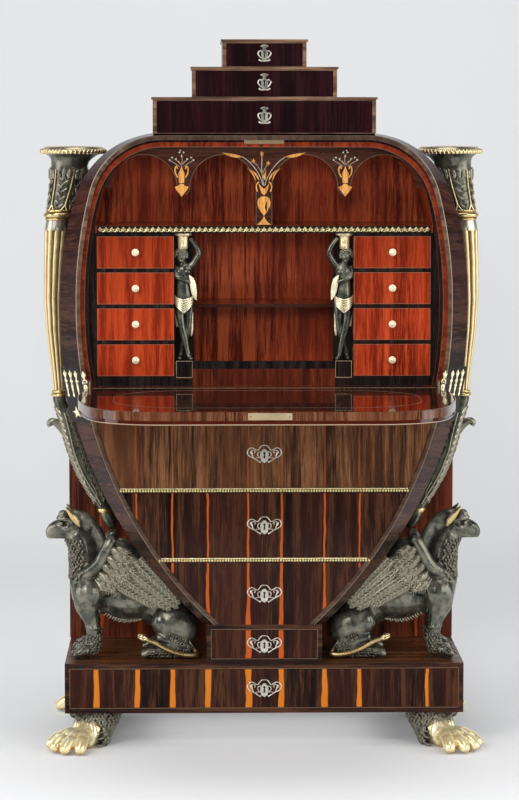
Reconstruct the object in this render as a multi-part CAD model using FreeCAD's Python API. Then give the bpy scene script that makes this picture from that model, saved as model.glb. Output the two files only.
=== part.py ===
"""Fall-front desk: oval lyre case on a plinth, with a lowered writing flap and sixteen drawers.

Lengths are millimetres. X runs across the desk, Y from front to back and Z up from the floor.
The working frame has y = 0 on the front plane of the case. Each solid is moved by FRONT_PLANE_Y
when it is written, so that the origin is the middle of the footprint with the flap lowered.
"""
import FreeCAD
import Part

import math
import os

from FreeCAD import Vector

# Plinth, feet and waist
plinth_width = 850.0
plinth_depth = 385.0
plinth_height = 107.0
plinth_wall = 12.0
plinth_back = 48.0
foot_height = 75.0
waist_width = 246.0
waist_height = 83.0
waist_wall = 11.0
waist_back = 22.0

# Oval case: front outline, canted edge and straight sides behind it
case_depth = 332.0
case_height = 1041.0
case_half_width = 397.0
widest_height = 690.0
flank_straight = 19.0
cant_width = 35.0
cant_depth = 36.0
cant_top_rise = 4.0
shoulder_radius = 157.0
flank_radius = 900.0
rear_shoulder_radius = 190.0
rear_flank_radius = 706.0
foot_of_oval_inset = 16.0
foot_of_oval_overhang = 8.0
edge_bead = 10.0
interior_inset = 25.0
back_thickness = 14.0
back_inset = 4.0
panel_thickness = 25.0
panel_width = 854.0
panel_height = 520.0

# Big drawers behind the oval front
upper_drawer_height = 146.0
middle_drawer_height = 139.0
lower_drawer_height = 134.0
dust_board = 10.0
dust_board_groove = 10.0
bead_strip_height = 8.6
bead_strip_proud = 3.0
bead_strip_depth = 9.0

# Writing bed and flap
bed_thickness = 67.0
bed_hinge_gap = 21.2
flap_thickness = 27.0
flap_clearance = 0.8
flap_stop_gap = 0.2
pin_radius = 5.0
pin_clearance = 0.05
pin_length = 18.5
bush_radius = 8.0
bush_length = 19.0
hinge_plate_thickness = 4.5
hinge_plate_height = 40.0
hinge_side_gap = 0.5
swing_clearance = 0.3
lock_plate_length = 86.0
lock_plate_height = 16.0
lock_plate_thickness = 2.0
lock_body_length = 70.0
lock_body_depth = 38.0
lock_body_thickness = 12.0
strike_thickness = 1.5
strike_leg = 8.0

# Interior
interior_front = 45.0
base_board = 17.0
inner_drawer_gap = 7.0
inner_rows = 4
nest_top = 6.0
nest_bottom = 4.0
nest_side = 5.0
niche_half_width = 148.5
post_width = 41.5
post_recess = 40.0
arcade_shelf = 15.0
arcade_height = 166.0
shelf_edge_depth = 7.0
arcade_thickness = 10.0
arcade_set_back = 2.0
arch_radius = 68.5
pier_half_width = 18.0
pendant_radius = 15.0
arch_springing = 80.5
partition_thickness = 8.0
niche_shelf_share = 0.474
niche_shelf_thickness = 7.0
niche_shelf_front = 120.0
wall_clearance = 0.3

# Stepped top
lower_tier_width = 468.0
middle_tier_width = 304.0
upper_tier_width = 176.0
lower_tier_height = 76.0
middle_tier_height = 63.0
upper_tier_height = 57.0
tier_depth = 300.0
tier_wall = 8.0
tier_back = 16.0
tier_lid = 5.0
tier_lid_proud = 3.0

# Drawer construction
side_gap = 0.6
run_gap = 0.3
top_gap = 1.0
back_gap = 6.0
front_thickness = 20.0
inner_front_thickness = 14.0
drawer_side = 10.0
drawer_bottom = 8.0
knob_radius = 8.0
knob_length = 15.0
knob_profile = ((0.0, 1.0), (0.45, 1.0), (0.85, 0.85), (1.0, 0.62), (0.8, 0.4), (0.45, 0.25),
                (0.45, 0.12), (0.75, 0.0))
knob_spigot_radius = 3.0
spigot_clearance = 0.05
escutcheon_length = 77.0
escutcheon_height = 39.0
tier_escutcheon_length = 31.0
tier_escutcheon_height = 36.0
escutcheon_thickness = 1.5
lock_case_length = 50.0
lock_case_height = 34.0
tier_lock_case_height = 22.0
lock_case_depth = 12.0

# Sculpture
griffin_depth_centre = 115.0
griffin_length = 302.0
wing_thickness = 16.0
horn_tail_radius = 21.0
horn_panel_gap = 2.0
dowel_radius = 6.0
dowel_clearance = 0.05
side_dowel_length = 45.0
rear_dowel_length = 30.0
pedestal_size = 36.0
pedestal_height = 37.0
head_plate = 32.0
head_plate_thickness = 7.0
head_plate_set_back = 2.0

# How far a cut runs past the face that it opens
cut_past = 5.0

# Levels worked out from the sizes above
plinth_bottom = foot_height
plinth_top = plinth_bottom + plinth_height
case_bottom = plinth_top + waist_height
case_top = case_bottom + case_height
widest_z = case_bottom + widest_height
belly_z = widest_z - flank_straight
lower_board_z = case_bottom + lower_drawer_height
upper_board_z = lower_board_z + dust_board + middle_drawer_height
bed_bottom = upper_board_z + dust_board + upper_drawer_height
writing_z = bed_bottom + bed_thickness
pin_y = flap_thickness / 2
pin_z = writing_z - flap_thickness / 2
flap_bottom = writing_z - flap_thickness
base_top = writing_z + base_board
ceiling_z = case_top - cant_top_rise - interior_inset
arcade_z = ceiling_z - arcade_height
shelf_z = arcade_z - arcade_shelf
nest_height = shelf_z - base_top
inner_drawer_height = (nest_height - nest_top - nest_bottom
                       - (inner_rows - 1) * inner_drawer_gap) / inner_rows
back_y = case_depth - back_thickness
horn_depth_centre = case_depth - horn_tail_radius - horn_panel_gap


def box(x0, x1, y0, y1, z0, z1):
    """Box between two corners."""
    return Part.makeBox(x1 - x0, y1 - y0, z1 - z0, Vector(x0, y0, z0))


def wide_box(half_width, y0, y1, z0, z1):
    """Box that is symmetric about the middle of the desk."""
    return box(-half_width, half_width, y0, y1, z0, z1)


class Outline:
    """Half outline of the oval: flat top, shoulder arc, flank arc, short straight and belly arc."""

    def __init__(self, half_width, top, shoulder, flank, foot_half_width):
        self.half_width = half_width
        self.top = top
        self.shoulder = shoulder
        self.flank = flank
        drop = belly_z - case_bottom
        narrowing = half_width - foot_half_width
        self.belly = (drop ** 2 + narrowing ** 2) / (2 * narrowing)
        self.flank_x = half_width - flank
        self.belly_x = half_width - self.belly
        rise = top - shoulder - widest_z
        self.shoulder_x = self.flank_x + math.sqrt((flank - shoulder) ** 2 - rise ** 2)
        self.shoulder_z = top - shoulder

    def half_at(self, z, inset=0.0):
        """Half width of the outline at a height, moved inwards by an inset."""
        if z <= belly_z:
            return self.belly_x + math.sqrt((self.belly - inset) ** 2 - (belly_z - z) ** 2)
        if z <= widest_z:
            return self.half_width - inset
        to_shoulder = math.atan2(self.shoulder_z - widest_z, self.shoulder_x - self.flank_x)
        meet_z = widest_z + (self.flank - inset) * math.sin(to_shoulder)
        if z <= meet_z:
            return self.flank_x + math.sqrt((self.flank - inset) ** 2 - (z - widest_z) ** 2)
        rise = min(z - self.shoulder_z, self.shoulder - inset)
        return self.shoulder_x + math.sqrt((self.shoulder - inset) ** 2 - rise ** 2)

    def wire(self, y, inset=0.0):
        """Closed wire of the outline in the plane at y, cut flat at the foot of the case."""
        flank = self.flank - inset
        shoulder = self.shoulder - inset
        belly = self.belly - inset
        angle = math.atan2(self.shoulder_z - widest_z, self.shoulder_x - self.flank_x)
        top = self.top - inset
        meet = (self.flank_x + flank * math.cos(angle), widest_z + flank * math.sin(angle))
        steep = (angle + math.pi / 2) / 2
        on_shoulder = (self.shoulder_x + shoulder * math.cos(steep),
                       self.shoulder_z + shoulder * math.sin(steep))
        on_flank = (self.flank_x + flank * math.cos(angle / 2),
                    widest_z + flank * math.sin(angle / 2))
        widest = self.half_width - inset
        turn = math.asin((belly_z - case_bottom) / belly)
        foot = (self.belly_x + belly * math.cos(turn), case_bottom)
        on_belly = (self.belly_x + belly * math.cos(turn / 2),
                    belly_z - belly * math.sin(turn / 2))
        edges = []
        for side in (1, -1):
            def point(x, z):
                return Vector(side * x, y, z)
            edges.append(Part.Arc(point(self.shoulder_x, top), point(*on_shoulder), point(*meet)).toShape())
            edges.append(Part.Arc(point(*meet), point(*on_flank), point(widest, widest_z)).toShape())
            edges.append(Part.LineSegment(point(widest, widest_z), point(widest, belly_z)).toShape())
            edges.append(Part.Arc(point(widest, belly_z), point(*on_belly), point(*foot)).toShape())
        left_foot = Vector(-foot[0], y, case_bottom)
        right_foot = Vector(foot[0], y, case_bottom)
        left_top = Vector(-self.shoulder_x, y, top)
        right_top = Vector(self.shoulder_x, y, top)
        right = edges[:4]
        left = edges[4:]
        floor = Part.LineSegment(right_foot, left_foot).toShape()
        roof = Part.LineSegment(left_top, right_top).toShape()
        return Part.Wire(right + [floor] + left[::-1] + [roof])

    def prism(self, y0, y1, inset=0.0, bottom=None, top=None):
        """Solid with the outline's section from y0 to y1, between two heights where they are given."""
        whole = Part.Face(self.wire(y0, inset)).extrude(Vector(0, y1 - y0, 0))
        if bottom is None:
            return whole
        high = self.top if top is None else top
        return whole.common(wide_box(self.half_width, y0, y1, bottom, high))


front_outline = Outline(case_half_width, case_top - cant_top_rise, shoulder_radius, flank_radius,
                        waist_width / 2 - foot_of_oval_inset)
rear_outline = Outline(case_half_width + cant_width, case_top, rear_shoulder_radius,
                       rear_flank_radius, waist_width / 2 + foot_of_oval_overhang)
flap_end_x = front_outline.half_at(flap_bottom, edge_bead + flap_clearance)
flap_top = front_outline.top - edge_bead - flap_clearance
opening_top = front_outline.top - edge_bead
hinge_face_x = flap_end_x + hinge_side_gap
bed_half_width = hinge_face_x - bed_hinge_gap
rebate_depth = flap_thickness + flap_stop_gap
hinge_plate_corner = math.hypot(flap_thickness / 2, hinge_plate_height - flap_thickness / 2)
flap_notch_top = pin_z + hinge_plate_corner + hinge_side_gap
nest_half_width = min(front_outline.half_at(base_top, interior_inset),
                      front_outline.half_at(shelf_z, interior_inset)) - wall_clearance
shelf_half_width = min(front_outline.half_at(shelf_z, interior_inset),
                       front_outline.half_at(arcade_z, interior_inset)) - wall_clearance
inner_drawer_inside = niche_half_width + post_width
inner_drawer_outside = nest_half_width - nest_side

# Places of the paws, measured from a corner of the plinth
leg_stations = ((75.0, 70.0, 62.0, 56.0), (52.0, 66.0, 54.0, 50.0), (28.0, 60.0, 38.0, 44.0),
                (0.0, 58.0, 26.0, 40.0))
leg_drawn_height = 75.0
toe_angles = (10.0, 26.0, 42.0, 58.0)
toe_root = (57.0, 22.0)
toe_reach = 82.0
toe_radius = 19.0
toe_waist_radius = 17.0
toe_height = 16.0
toe_tip_y = toe_root[1] - toe_reach * math.cos(math.radians(toe_angles[0])) - toe_radius

# The working frame's front plane, in the frame of the finished desk
flap_reach = flap_top - pin_z - pin_y
rear_reach = plinth_depth - toe_tip_y
FRONT_PLANE_Y = (flap_reach - rear_reach) / 2

parts = {}


def mirrored(shape):
    """Copy of a shape on the other side of the desk."""
    return shape.mirror(Vector(0, 0, 0), Vector(1, 0, 0))


def swing(shape, degrees):
    """Copy of a shape turned about the pins of the flap."""
    turned = shape.copy()
    turned.rotate(Vector(0, pin_y, pin_z), Vector(1, 0, 0), degrees)
    return turned


def tube(stations, level=False):
    """Solid through round sections, square to the run or level: each station is x, y, z, radius."""
    wires = []
    last = len(stations) - 1
    across = Vector(0, 1, 0)
    for index, (x, y, z, radius) in enumerate(stations):
        before = Vector(*stations[max(index - 1, 0)][:3])
        after = Vector(*stations[min(index + 1, last)][:3])
        ahead = Vector(0, 0, 1) if level else (after - before).normalize()
        side = (across - ahead * across.dot(ahead)).normalize()
        turn = FreeCAD.Rotation(side, ahead.cross(side), ahead, "ZXY")
        circle = Part.makeCircle(radius)
        circle.Placement = FreeCAD.Placement(Vector(x, y, z), turn)
        wires.append(Part.Wire(circle))
    return Part.makeLoft(wires, True, True)


def narrowed(shape, middle_y, share):
    """Copy of a shape drawn in towards a plane across the depth."""
    matrix = FreeCAD.Matrix()
    matrix.move(Vector(0, -middle_y, 0))
    matrix.scale(Vector(1, share, 1))
    matrix.move(Vector(0, middle_y, 0))
    return shape.transformGeometry(matrix)


def ellipsoid(centre, radii):
    """Sphere stretched to three radii."""
    matrix = FreeCAD.Matrix()
    matrix.scale(Vector(*radii))
    stretched = Part.makeSphere(1.0).transformGeometry(matrix)
    stretched.translate(Vector(*centre))
    return stretched


def joined(shapes):
    """One solid from shapes that overlap."""
    return shapes[0].multiFuse(shapes[1:]).removeSplitter()


def add(name, *shapes):
    """Keep the solids of one named piece."""
    parts[name] = list(shapes)


def drawer_tray(x0, x1, y0, z0, z1, depth, front):
    """Boards of a box drawer inside an opening, front board first, with its running gaps."""
    left = x0 + side_gap
    right = x1 - side_gap
    low = z0 + run_gap
    high = z1 - top_gap
    rear = y0 + depth - drawer_side
    floor = low + drawer_bottom
    return [box(left, right, y0, y0 + front, low, high),
            box(left, right, y0 + front, rear, low, floor),
            box(left, left + drawer_side, y0 + front, rear, floor, high),
            box(right - drawer_side, right, y0 + front, rear, floor, high),
            box(left, right, rear, y0 + depth, low, high)]


def oval_tray(z0, z1, depth):
    """Big drawer whose ends follow the oval outline."""
    gap = edge_bead + side_gap
    low = z0 + run_gap
    high = z1 - top_gap
    tray = front_outline.prism(0, depth, gap, low, high)
    hollow = front_outline.prism(front_thickness, depth - drawer_side, gap + drawer_side,
                                 low + drawer_bottom, high + cut_past)
    return tray.cut(hollow)


def lock_set(z, length, height, case_height):
    """Escutcheon on a drawer front and the lock case behind it."""
    plate = Part.Face(Part.Wire(Part.Ellipse(Vector(0, 0, 0), max(length, height) / 2,
                                             min(length, height) / 2).toShape()))
    if height > length:
        plate.rotate(Vector(0, 0, 0), Vector(0, 0, 1), 90)
    plate.rotate(Vector(0, 0, 0), Vector(1, 0, 0), 90)
    plate.translate(Vector(0, 0, z))
    escutcheon = plate.extrude(Vector(0, -escutcheon_thickness, 0))
    case = wide_box(lock_case_length / 2, front_thickness, front_thickness + lock_case_depth,
                    z - case_height / 2, z + case_height / 2)
    return escutcheon, case


def build_plinth():
    """Plinth case with its wide drawer."""
    half = plinth_width / 2
    inner = half - plinth_wall
    low = plinth_bottom + plinth_wall
    high = plinth_top - plinth_wall
    room = plinth_depth - plinth_back
    shell = wide_box(half, 0, plinth_depth, plinth_bottom, plinth_top)
    add("plinth_case", shell.cut(wide_box(inner, -cut_past, room, low, high)))
    add("plinth_drawer", *drawer_tray(-inner, inner, 0, low, high, room - back_gap, front_thickness))
    add("plinth_drawer_lock", *lock_set((low + high) / 2, escutcheon_length, escutcheon_height,
                                        lock_case_height))


def build_feet():
    """Four lion paws, one under each corner of the plinth."""
    stretch = foot_height / leg_drawn_height
    corner_x = -plinth_width / 2
    leg = [(corner_x + x, y, z * stretch, r) for z, x, y, r in leg_stations]
    pieces = [tube(leg, level=True)]
    root = Vector(corner_x + toe_root[0], toe_root[1], toe_height)
    for angle in toe_angles:
        bearing = math.radians(angle)
        ahead = Vector(-math.sin(bearing), -math.cos(bearing), 0)
        tip = root + ahead * toe_reach
        pieces.append(Part.makeCylinder(toe_waist_radius, toe_reach, root, ahead))
        pieces.append(Part.makeSphere(toe_radius, tip))
    floor = wide_box(plinth_width, -plinth_depth, plinth_depth, -plinth_height, 0)
    front_left = joined(pieces).cut(floor)
    rear_left = front_left.mirror(Vector(0, plinth_depth / 2, 0), Vector(0, 1, 0))
    add("paw_foot_front_left", front_left)
    add("paw_foot_front_right", mirrored(front_left))
    add("paw_foot_rear_left", rear_left)
    add("paw_foot_rear_right", mirrored(rear_left))


def build_waist():
    """Waist block that carries the oval case, with its drawer."""
    half = waist_width / 2
    inner = half - waist_wall
    low = plinth_top + waist_wall
    high = case_bottom - waist_wall
    room = case_depth - waist_back
    shell = wide_box(half, 0, case_depth, plinth_top, case_bottom)
    add("waist_case", shell.cut(wide_box(inner, -cut_past, room, low, high)))
    add("waist_drawer", *drawer_tray(-inner, inner, 0, low, high, room - back_gap, front_thickness))
    add("waist_drawer_lock", *lock_set((low + high) / 2, escutcheon_length, escutcheon_height,
                                       lock_case_height))


def swing_room():
    """Room in the case for the bottom edge of the flap as it turns."""
    corner = math.hypot(flap_thickness / 2, flap_thickness / 2)
    radius = corner + swing_clearance
    reach = math.sqrt(radius ** 2 - (flap_thickness / 2) ** 2)
    half = flap_end_x + hinge_side_gap
    trough = Part.makeCylinder(radius, 2 * half, Vector(-half, pin_y, pin_z), Vector(1, 0, 0))
    mouth = wide_box(half, -radius, pin_y + reach, pin_z - reach, writing_z + cut_past)
    return trough.fuse(mouth)


def dust_board_half(z):
    """Half length of a dust board, which is housed in grooves in the case sides."""
    return front_outline.half_at(z + dust_board, edge_bead) + dust_board_groove


def side_dowel(clearance):
    """Dowel that holds the left horn to the case side at its widest height."""
    outer = rear_outline.half_width + horn_outset_at_widest
    start = Vector(-outer, horn_depth_centre, widest_z)
    return Part.makeCylinder(dowel_radius + clearance, side_dowel_length + clearance, start,
                             Vector(1, 0, 0))


def build_case():
    """Curved case sides, back board, dust boards and the panel behind the lower half."""
    canted = Part.makeLoft([front_outline.wire(0), rear_outline.wire(cant_depth)], True, True)
    straight = rear_outline.prism(cant_depth, case_depth)
    shell = canted.fuse(straight)
    cuts = [front_outline.prism(-cut_past, rebate_depth, edge_bead, flap_bottom),
            front_outline.prism(rebate_depth, back_y, interior_inset, writing_z),
            wide_box(bed_half_width, -cut_past, back_y, bed_bottom, writing_z),
            front_outline.prism(back_y, case_depth + cut_past, back_inset),
            swing_room()]
    levels = ((case_bottom, lower_board_z), (lower_board_z + dust_board, upper_board_z),
              (upper_board_z + dust_board, bed_bottom))
    for low, high in levels:
        cuts.append(front_outline.prism(-cut_past, back_y, edge_bead, low, high))
    boards = []
    for z in (lower_board_z, upper_board_z):
        half = dust_board_half(z)
        cuts.append(front_outline.prism(-cut_past, bead_strip_depth, edge_bead, z, z + dust_board))
        cuts.append(wide_box(half, bead_strip_depth, back_y, z, z + dust_board))
        boards.append(wide_box(half, bead_strip_depth, back_y, z, z + dust_board))
    pocket = box(hinge_face_x, hinge_face_x + hinge_plate_thickness, -cut_past, flap_thickness,
                 flap_bottom, flap_bottom + hinge_plate_height)
    cuts.append(pocket)
    cuts.append(mirrored(pocket))
    cuts.append(strike_plate())
    dowel_hole = side_dowel(dowel_clearance)
    cuts.append(dowel_hole)
    cuts.append(mirrored(dowel_hole))
    shell = shell.cut(cuts)
    right_half = box(0, rear_outline.half_width, 0, case_depth, case_bottom, case_top)
    add("case_side_left", shell.common(mirrored(right_half)))
    add("case_side_right", shell.common(right_half))
    add("case_back", front_outline.prism(back_y, case_depth, back_inset + wall_clearance))
    add("dust_boards", *boards)
    panel = wide_box(panel_width / 2, case_depth, case_depth + panel_thickness, plinth_top,
                     plinth_top + panel_height)
    hole = rear_dowel(dowel_clearance)
    add("lower_back_panel", panel.cut([hole, mirrored(hole)]))


def build_big_drawers():
    """Three drawers behind the oval front, and the gilt bead strips between them."""
    depth = back_y - back_gap
    levels = {"lower": (case_bottom, lower_board_z),
              "middle": (lower_board_z + dust_board, upper_board_z),
              "upper": (upper_board_z + dust_board, bed_bottom)}
    for name, (low, high) in levels.items():
        add("big_drawer_" + name, oval_tray(low, high, depth))
        add("big_drawer_lock_" + name, *lock_set((low + high) / 2, escutcheon_length,
                                                 escutcheon_height, lock_case_height))
    strips = []
    for z in (lower_board_z, upper_board_z):
        low = z + (dust_board - bead_strip_height) / 2
        half = front_outline.half_at(low, edge_bead) - wall_clearance
        strips.append(wide_box(half, -bead_strip_proud, bead_strip_depth, low, low + bead_strip_height))
    edge = wide_box(shelf_half_width - nest_side, interior_front - shelf_edge_depth, interior_front,
                    shelf_z, arcade_z)
    add("gilt_beading", *strips, edge)


def strike_plate():
    """Brass angle over the flap lock: one leg above the flap's edge and one behind it."""
    half = lock_plate_length / 2
    above = wide_box(half, rebate_depth - lock_plate_height, rebate_depth + strike_thickness,
                     opening_top, opening_top + strike_thickness)
    behind = wide_box(half, rebate_depth, rebate_depth + strike_thickness,
                      opening_top - strike_leg, opening_top)
    return above.fuse(behind).removeSplitter()


def build_flap():
    """Writing bed, writing flap, its lock, bushes, hinge plates with pins and strike plate."""
    bed = wide_box(bed_half_width, 0, back_y, bed_bottom, writing_z)
    add("writing_bed", bed.cut(swing_room()))
    board = front_outline.prism(0, flap_thickness, edge_bead + flap_clearance, flap_bottom)
    end_x = flap_end_x
    outside = box(end_x, case_half_width, 0, flap_thickness, flap_bottom, flap_notch_top)
    plate_y = (flap_thickness - lock_plate_height) / 2
    plate = wide_box(lock_plate_length / 2, plate_y, plate_y + lock_plate_height,
                     flap_top - lock_plate_thickness, flap_top)
    body_y = (flap_thickness - lock_body_thickness) / 2
    body = wide_box(lock_body_length / 2, body_y, body_y + lock_body_thickness,
                    flap_top - lock_body_depth, flap_top - lock_plate_thickness)
    lock = plate.fuse(body).removeSplitter()
    axis = Vector(1, 0, 0)
    bush_start = Vector(end_x - bush_length, pin_y, pin_z)
    bush_hole = Part.makeCylinder(bush_radius, bush_length + cut_past, bush_start, axis)
    bush = Part.makeCylinder(bush_radius, bush_length, bush_start, axis)
    bore = Part.makeCylinder(pin_radius + pin_clearance, bush_length, bush_start, axis)
    bush = bush.cut(bore)
    board = board.cut([outside, mirrored(outside), lock, bush_hole, mirrored(bush_hole)])
    add("fall_board", swing(board, 90))
    add("fall_brassware", swing(lock, 90), swing(bush, 90), swing(mirrored(bush), 90))
    plate = box(hinge_face_x, hinge_face_x + hinge_plate_thickness, 0, flap_thickness,
                flap_bottom, flap_bottom + hinge_plate_height)
    pin = Part.makeCylinder(pin_radius, pin_length, Vector(hinge_face_x - pin_length, pin_y, pin_z),
                            axis)
    hinge = plate.fuse(pin).removeSplitter()
    add("hinge_plates", hinge, mirrored(hinge))
    add("strike_plate", strike_plate())


def build_interior():
    """Shelves, arcade and the two nests of small drawers with their knobs."""
    base = wide_box(nest_half_width - nest_side, interior_front, back_y, writing_z, base_top)
    shelf = wide_box(shelf_half_width, interior_front, back_y, shelf_z, arcade_z)
    arcade_back = interior_front + arcade_set_back + arcade_thickness
    half = partition_thickness / 2
    partition = wide_box(half, arcade_back, back_y, arcade_z, ceiling_z)
    niche_z = base_top + niche_shelf_share * nest_height
    niche_shelf = wide_box(niche_half_width, niche_shelf_front, back_y, niche_z,
                           niche_z + niche_shelf_thickness)
    add("interior_shelves", base, shelf, partition, niche_shelf)

    front = interior_front + arcade_set_back
    panel = front_outline.prism(front, arcade_back, interior_inset + wall_clearance, arcade_z)
    springing = arcade_z + arch_springing
    arches = []
    inner_x = pier_half_width + arch_radius
    pendant_x = pier_half_width + 2 * arch_radius + pendant_radius
    outer_x = pendant_x + pendant_radius + arch_radius
    for x in (inner_x, outer_x):
        arches.append(Part.makeCylinder(arch_radius, arcade_thickness, Vector(x, front, springing),
                                        Vector(0, 1, 0)))
    opening = box(pier_half_width, case_half_width, front, arcade_back, arcade_z, springing)
    pendant = Part.makeCylinder(pendant_radius, arcade_thickness, Vector(pendant_x, front, springing),
                                Vector(0, 1, 0))
    arches.append(opening.cut(pendant))
    add("arcade_panel", panel.cut(arches + [mirrored(arch) for arch in arches]))

    strip = front_outline.prism(interior_front, interior_front + arcade_thickness,
                                interior_inset + wall_clearance, base_top, shelf_z)
    strip = strip.common(box(nest_half_width, case_half_width, 0, case_depth, base_top, shelf_z))
    post = box(niche_half_width, inner_drawer_inside, interior_front + post_recess, back_y,
               base_top, shelf_z)
    side = box(inner_drawer_outside, nest_half_width, interior_front, back_y, base_top, shelf_z)
    room = back_y - interior_front - inner_drawer_gap
    back = box(inner_drawer_inside, inner_drawer_outside, interior_front + room, back_y, base_top, shelf_z)
    nest = [post, strip, side, back]
    board_low = base_top
    for row in range(inner_rows):
        low = base_top + nest_bottom + row * (inner_drawer_height + inner_drawer_gap)
        high = low + inner_drawer_height
        nest.append(nest_board(room, board_low, low))
        build_small_drawer(row + 1, low, high, room - back_gap)
        board_low = high
    nest.append(nest_board(room, board_low, shelf_z))
    add("drawer_nest_right", *nest)
    add("drawer_nest_left", *[mirrored(board) for board in nest])


def nest_board(room, low, high):
    """Level board under, between or over the small drawers."""
    return box(inner_drawer_inside, inner_drawer_outside, interior_front, interior_front + room, low, high)


def build_small_drawer(row, low, high, depth):
    """One small drawer on each side, with its turned knob."""
    front, *boards = drawer_tray(inner_drawer_inside, inner_drawer_outside, interior_front, low, high,
                                 depth, inner_front_thickness)
    middle_x = (inner_drawer_inside + inner_drawer_outside) / 2
    middle_z = (low + high) / 2
    axis = Vector(0, 1, 0)
    hole = Part.makeCylinder(knob_spigot_radius + spigot_clearance, inner_front_thickness,
                             Vector(middle_x, interior_front, middle_z), axis)
    boards.append(front.cut(hole))
    points = [Vector(knob_radius * wide, -knob_length * out, 0) for wide, out in knob_profile]
    points.append(Vector(knob_spigot_radius, 0, 0))
    points.append(Vector(knob_spigot_radius, inner_front_thickness, 0))
    points.append(Vector(0, inner_front_thickness, 0))
    points.append(points[0])
    face = Part.Face(Part.makePolygon(points))
    knob = face.revolve(Vector(0, 0, 0), axis, 360)
    knob.translate(Vector(middle_x, interior_front, middle_z))
    add("small_drawer_right_%d" % row, *boards)
    add("small_drawer_left_%d" % row, *[mirrored(board) for board in boards])
    add("knob_right_%d" % row, knob)
    add("knob_left_%d" % row, mirrored(knob))


def build_stepped_top():
    """Three tiers of one stepped case, each with a drawer."""
    bottom = case_top
    shells = []
    tiers = (("lower", lower_tier_width, lower_tier_height),
             ("middle", middle_tier_width, middle_tier_height),
             ("upper", upper_tier_width, upper_tier_height))
    for name, width, height in tiers:
        half = width / 2
        top = bottom + height
        shell = wide_box(half, 0, tier_depth, bottom, top)
        lid = wide_box(half + tier_lid_proud, -tier_lid_proud, tier_depth, top - tier_lid, top)
        inner = half - tier_wall
        low = bottom + tier_wall
        high = top - tier_wall
        room = tier_depth - tier_back
        shells.append(shell.fuse(lid).cut(wide_box(inner, -cut_past, room, low, high)))
        add("tier_drawer_" + name, *drawer_tray(-inner, inner, 0, low, high, room - back_gap,
                                                front_thickness))
        add("tier_drawer_lock_" + name, *lock_set((low + high) / 2, tier_escutcheon_length,
                                                  tier_escutcheon_height, tier_lock_case_height))
        bottom = top
    add("stepped_case", joined(shells))


# Stations of a horn: height as a share of the span above (+) or below (-) the widest height,
# outset of its centre from the widest half width of the case, and radius
horn_clearance = 2.0
horn_outset_at_widest = 27.0
horn_dowel_station = (-0.507, -19.0, horn_tail_radius)
horn_stations = ((0.915, -20.0, 67.0), (0.900, -20.0, 73.0), (0.872, -20.0, 72.0), (0.848, -18.0, 52.0),
                 (0.818, -12.0, 41.0), (0.770, -8.0, 40.0), (0.670, -3.0, 36.0), (0.547, 9.0, 28.0),
                 (0.518, 11.0, 33.0), (0.490, 13.0, 24.0), (0.420, 18.0, 26.0), (0.190, 24.0, 23.0),
                 (0.0, horn_outset_at_widest, 21.0), (-0.120, 25.0, 18.0), (-0.217, 20.0, 15.0),
                 (-0.297, 16.0, 12.5), (-0.322, 15.0, 17.0), (-0.345, 14.0, 14.0), (-0.425, -4.0, 17.0),
                 horn_dowel_station, (-0.587, -41.0, 20.0), (-0.652, -58.0, 17.0), (-0.694, -67.0, 14.0),
                 (-0.733, -76.0, 14.0), (-0.759, -79.0, 7.0))


def horn_point(station):
    """Centre of a horn section on the left side, hugging the case side, and its radius."""
    share, outset, radius = station
    span = case_top - widest_z if share > 0 else widest_z - case_bottom
    z = widest_z + share * span
    beside = rear_outline.half_at(z) + horn_clearance + radius
    x = max(rear_outline.half_width + outset, beside)
    return -x, horn_depth_centre, z, radius


def rear_dowel(clearance):
    """Dowel that holds the tail of the left horn to the lower back panel."""
    x, y, z, radius = horn_point(horn_dowel_station)
    return Part.makeCylinder(dowel_radius + clearance, rear_dowel_length + clearance,
                             Vector(x, y, z), Vector(0, 1, 0))


def build_horns():
    """Two cornucopia arms that stand beside the case on dowels."""
    body = tube([horn_point(station) for station in horn_stations], level=True)
    horn = joined([body, side_dowel(0), rear_dowel(0)])
    add("horn_left", horn)
    add("horn_right", mirrored(horn))


# Griffin, drawn on a ledge of the given length: distance from the waist, height above the plinth
griffin_back = ((36.0, 56.0, 26.0), (72.0, 78.0, 36.0), (128.0, 112.0, 46.0), (190.0, 140.0, 56.0),
                (240.0, 165.0, 56.0), (262.0, 200.0, 46.0), (262.0, 240.0, 40.0), (268.0, 272.0, 40.0),
                (285.0, 290.0, 36.0), (312.0, 288.0, 26.0), (334.0, 276.0, 15.0), (342.0, 264.0, 5.0))
griffin_foreleg = ((258.0, 140.0, 32.0), (262.0, 95.0, 25.0), (258.0, 58.0, 19.0), (256.0, 24.0, 20.0),
                   (256.0, 0.0, 20.0))
griffin_hind_foot = ((55.0, 22.0, 20.0), (100.0, 20.0, 18.0), (142.0, 13.0, 12.0))
griffin_tail = ((24.0, 14.0, 6.0), (60.0, 9.0, 6.0), (95.0, 18.0, 6.0), (125.0, 36.0, 6.0),
                (146.0, 40.0, 8.0))
griffin_wing = ((255.0, 170.0), (215.0, 200.0), (214.0, 248.0), (196.0, 254.0), (130.0, 190.0),
                (66.0, 112.0), (120.0, 112.0), (190.0, 135.0), (235.0, 138.0))
griffin_leg_spread = 30.0
griffin_wing_spread = 46.0
griffin_tail_spread = 52.0
griffin_foot_spread = 40.0
griffin_body_share = 0.8
griffin_swells = (((76.0, 62.0), (44.0, 28.0, 48.0)), ((262.0, 12.0), (30.0, 25.0, 26.0)))
griffin_tail_root = ((24.0, 14.0, 6.0), (30.0, 34.0, 8.0), (44.0, 54.0, 10.0))


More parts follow.
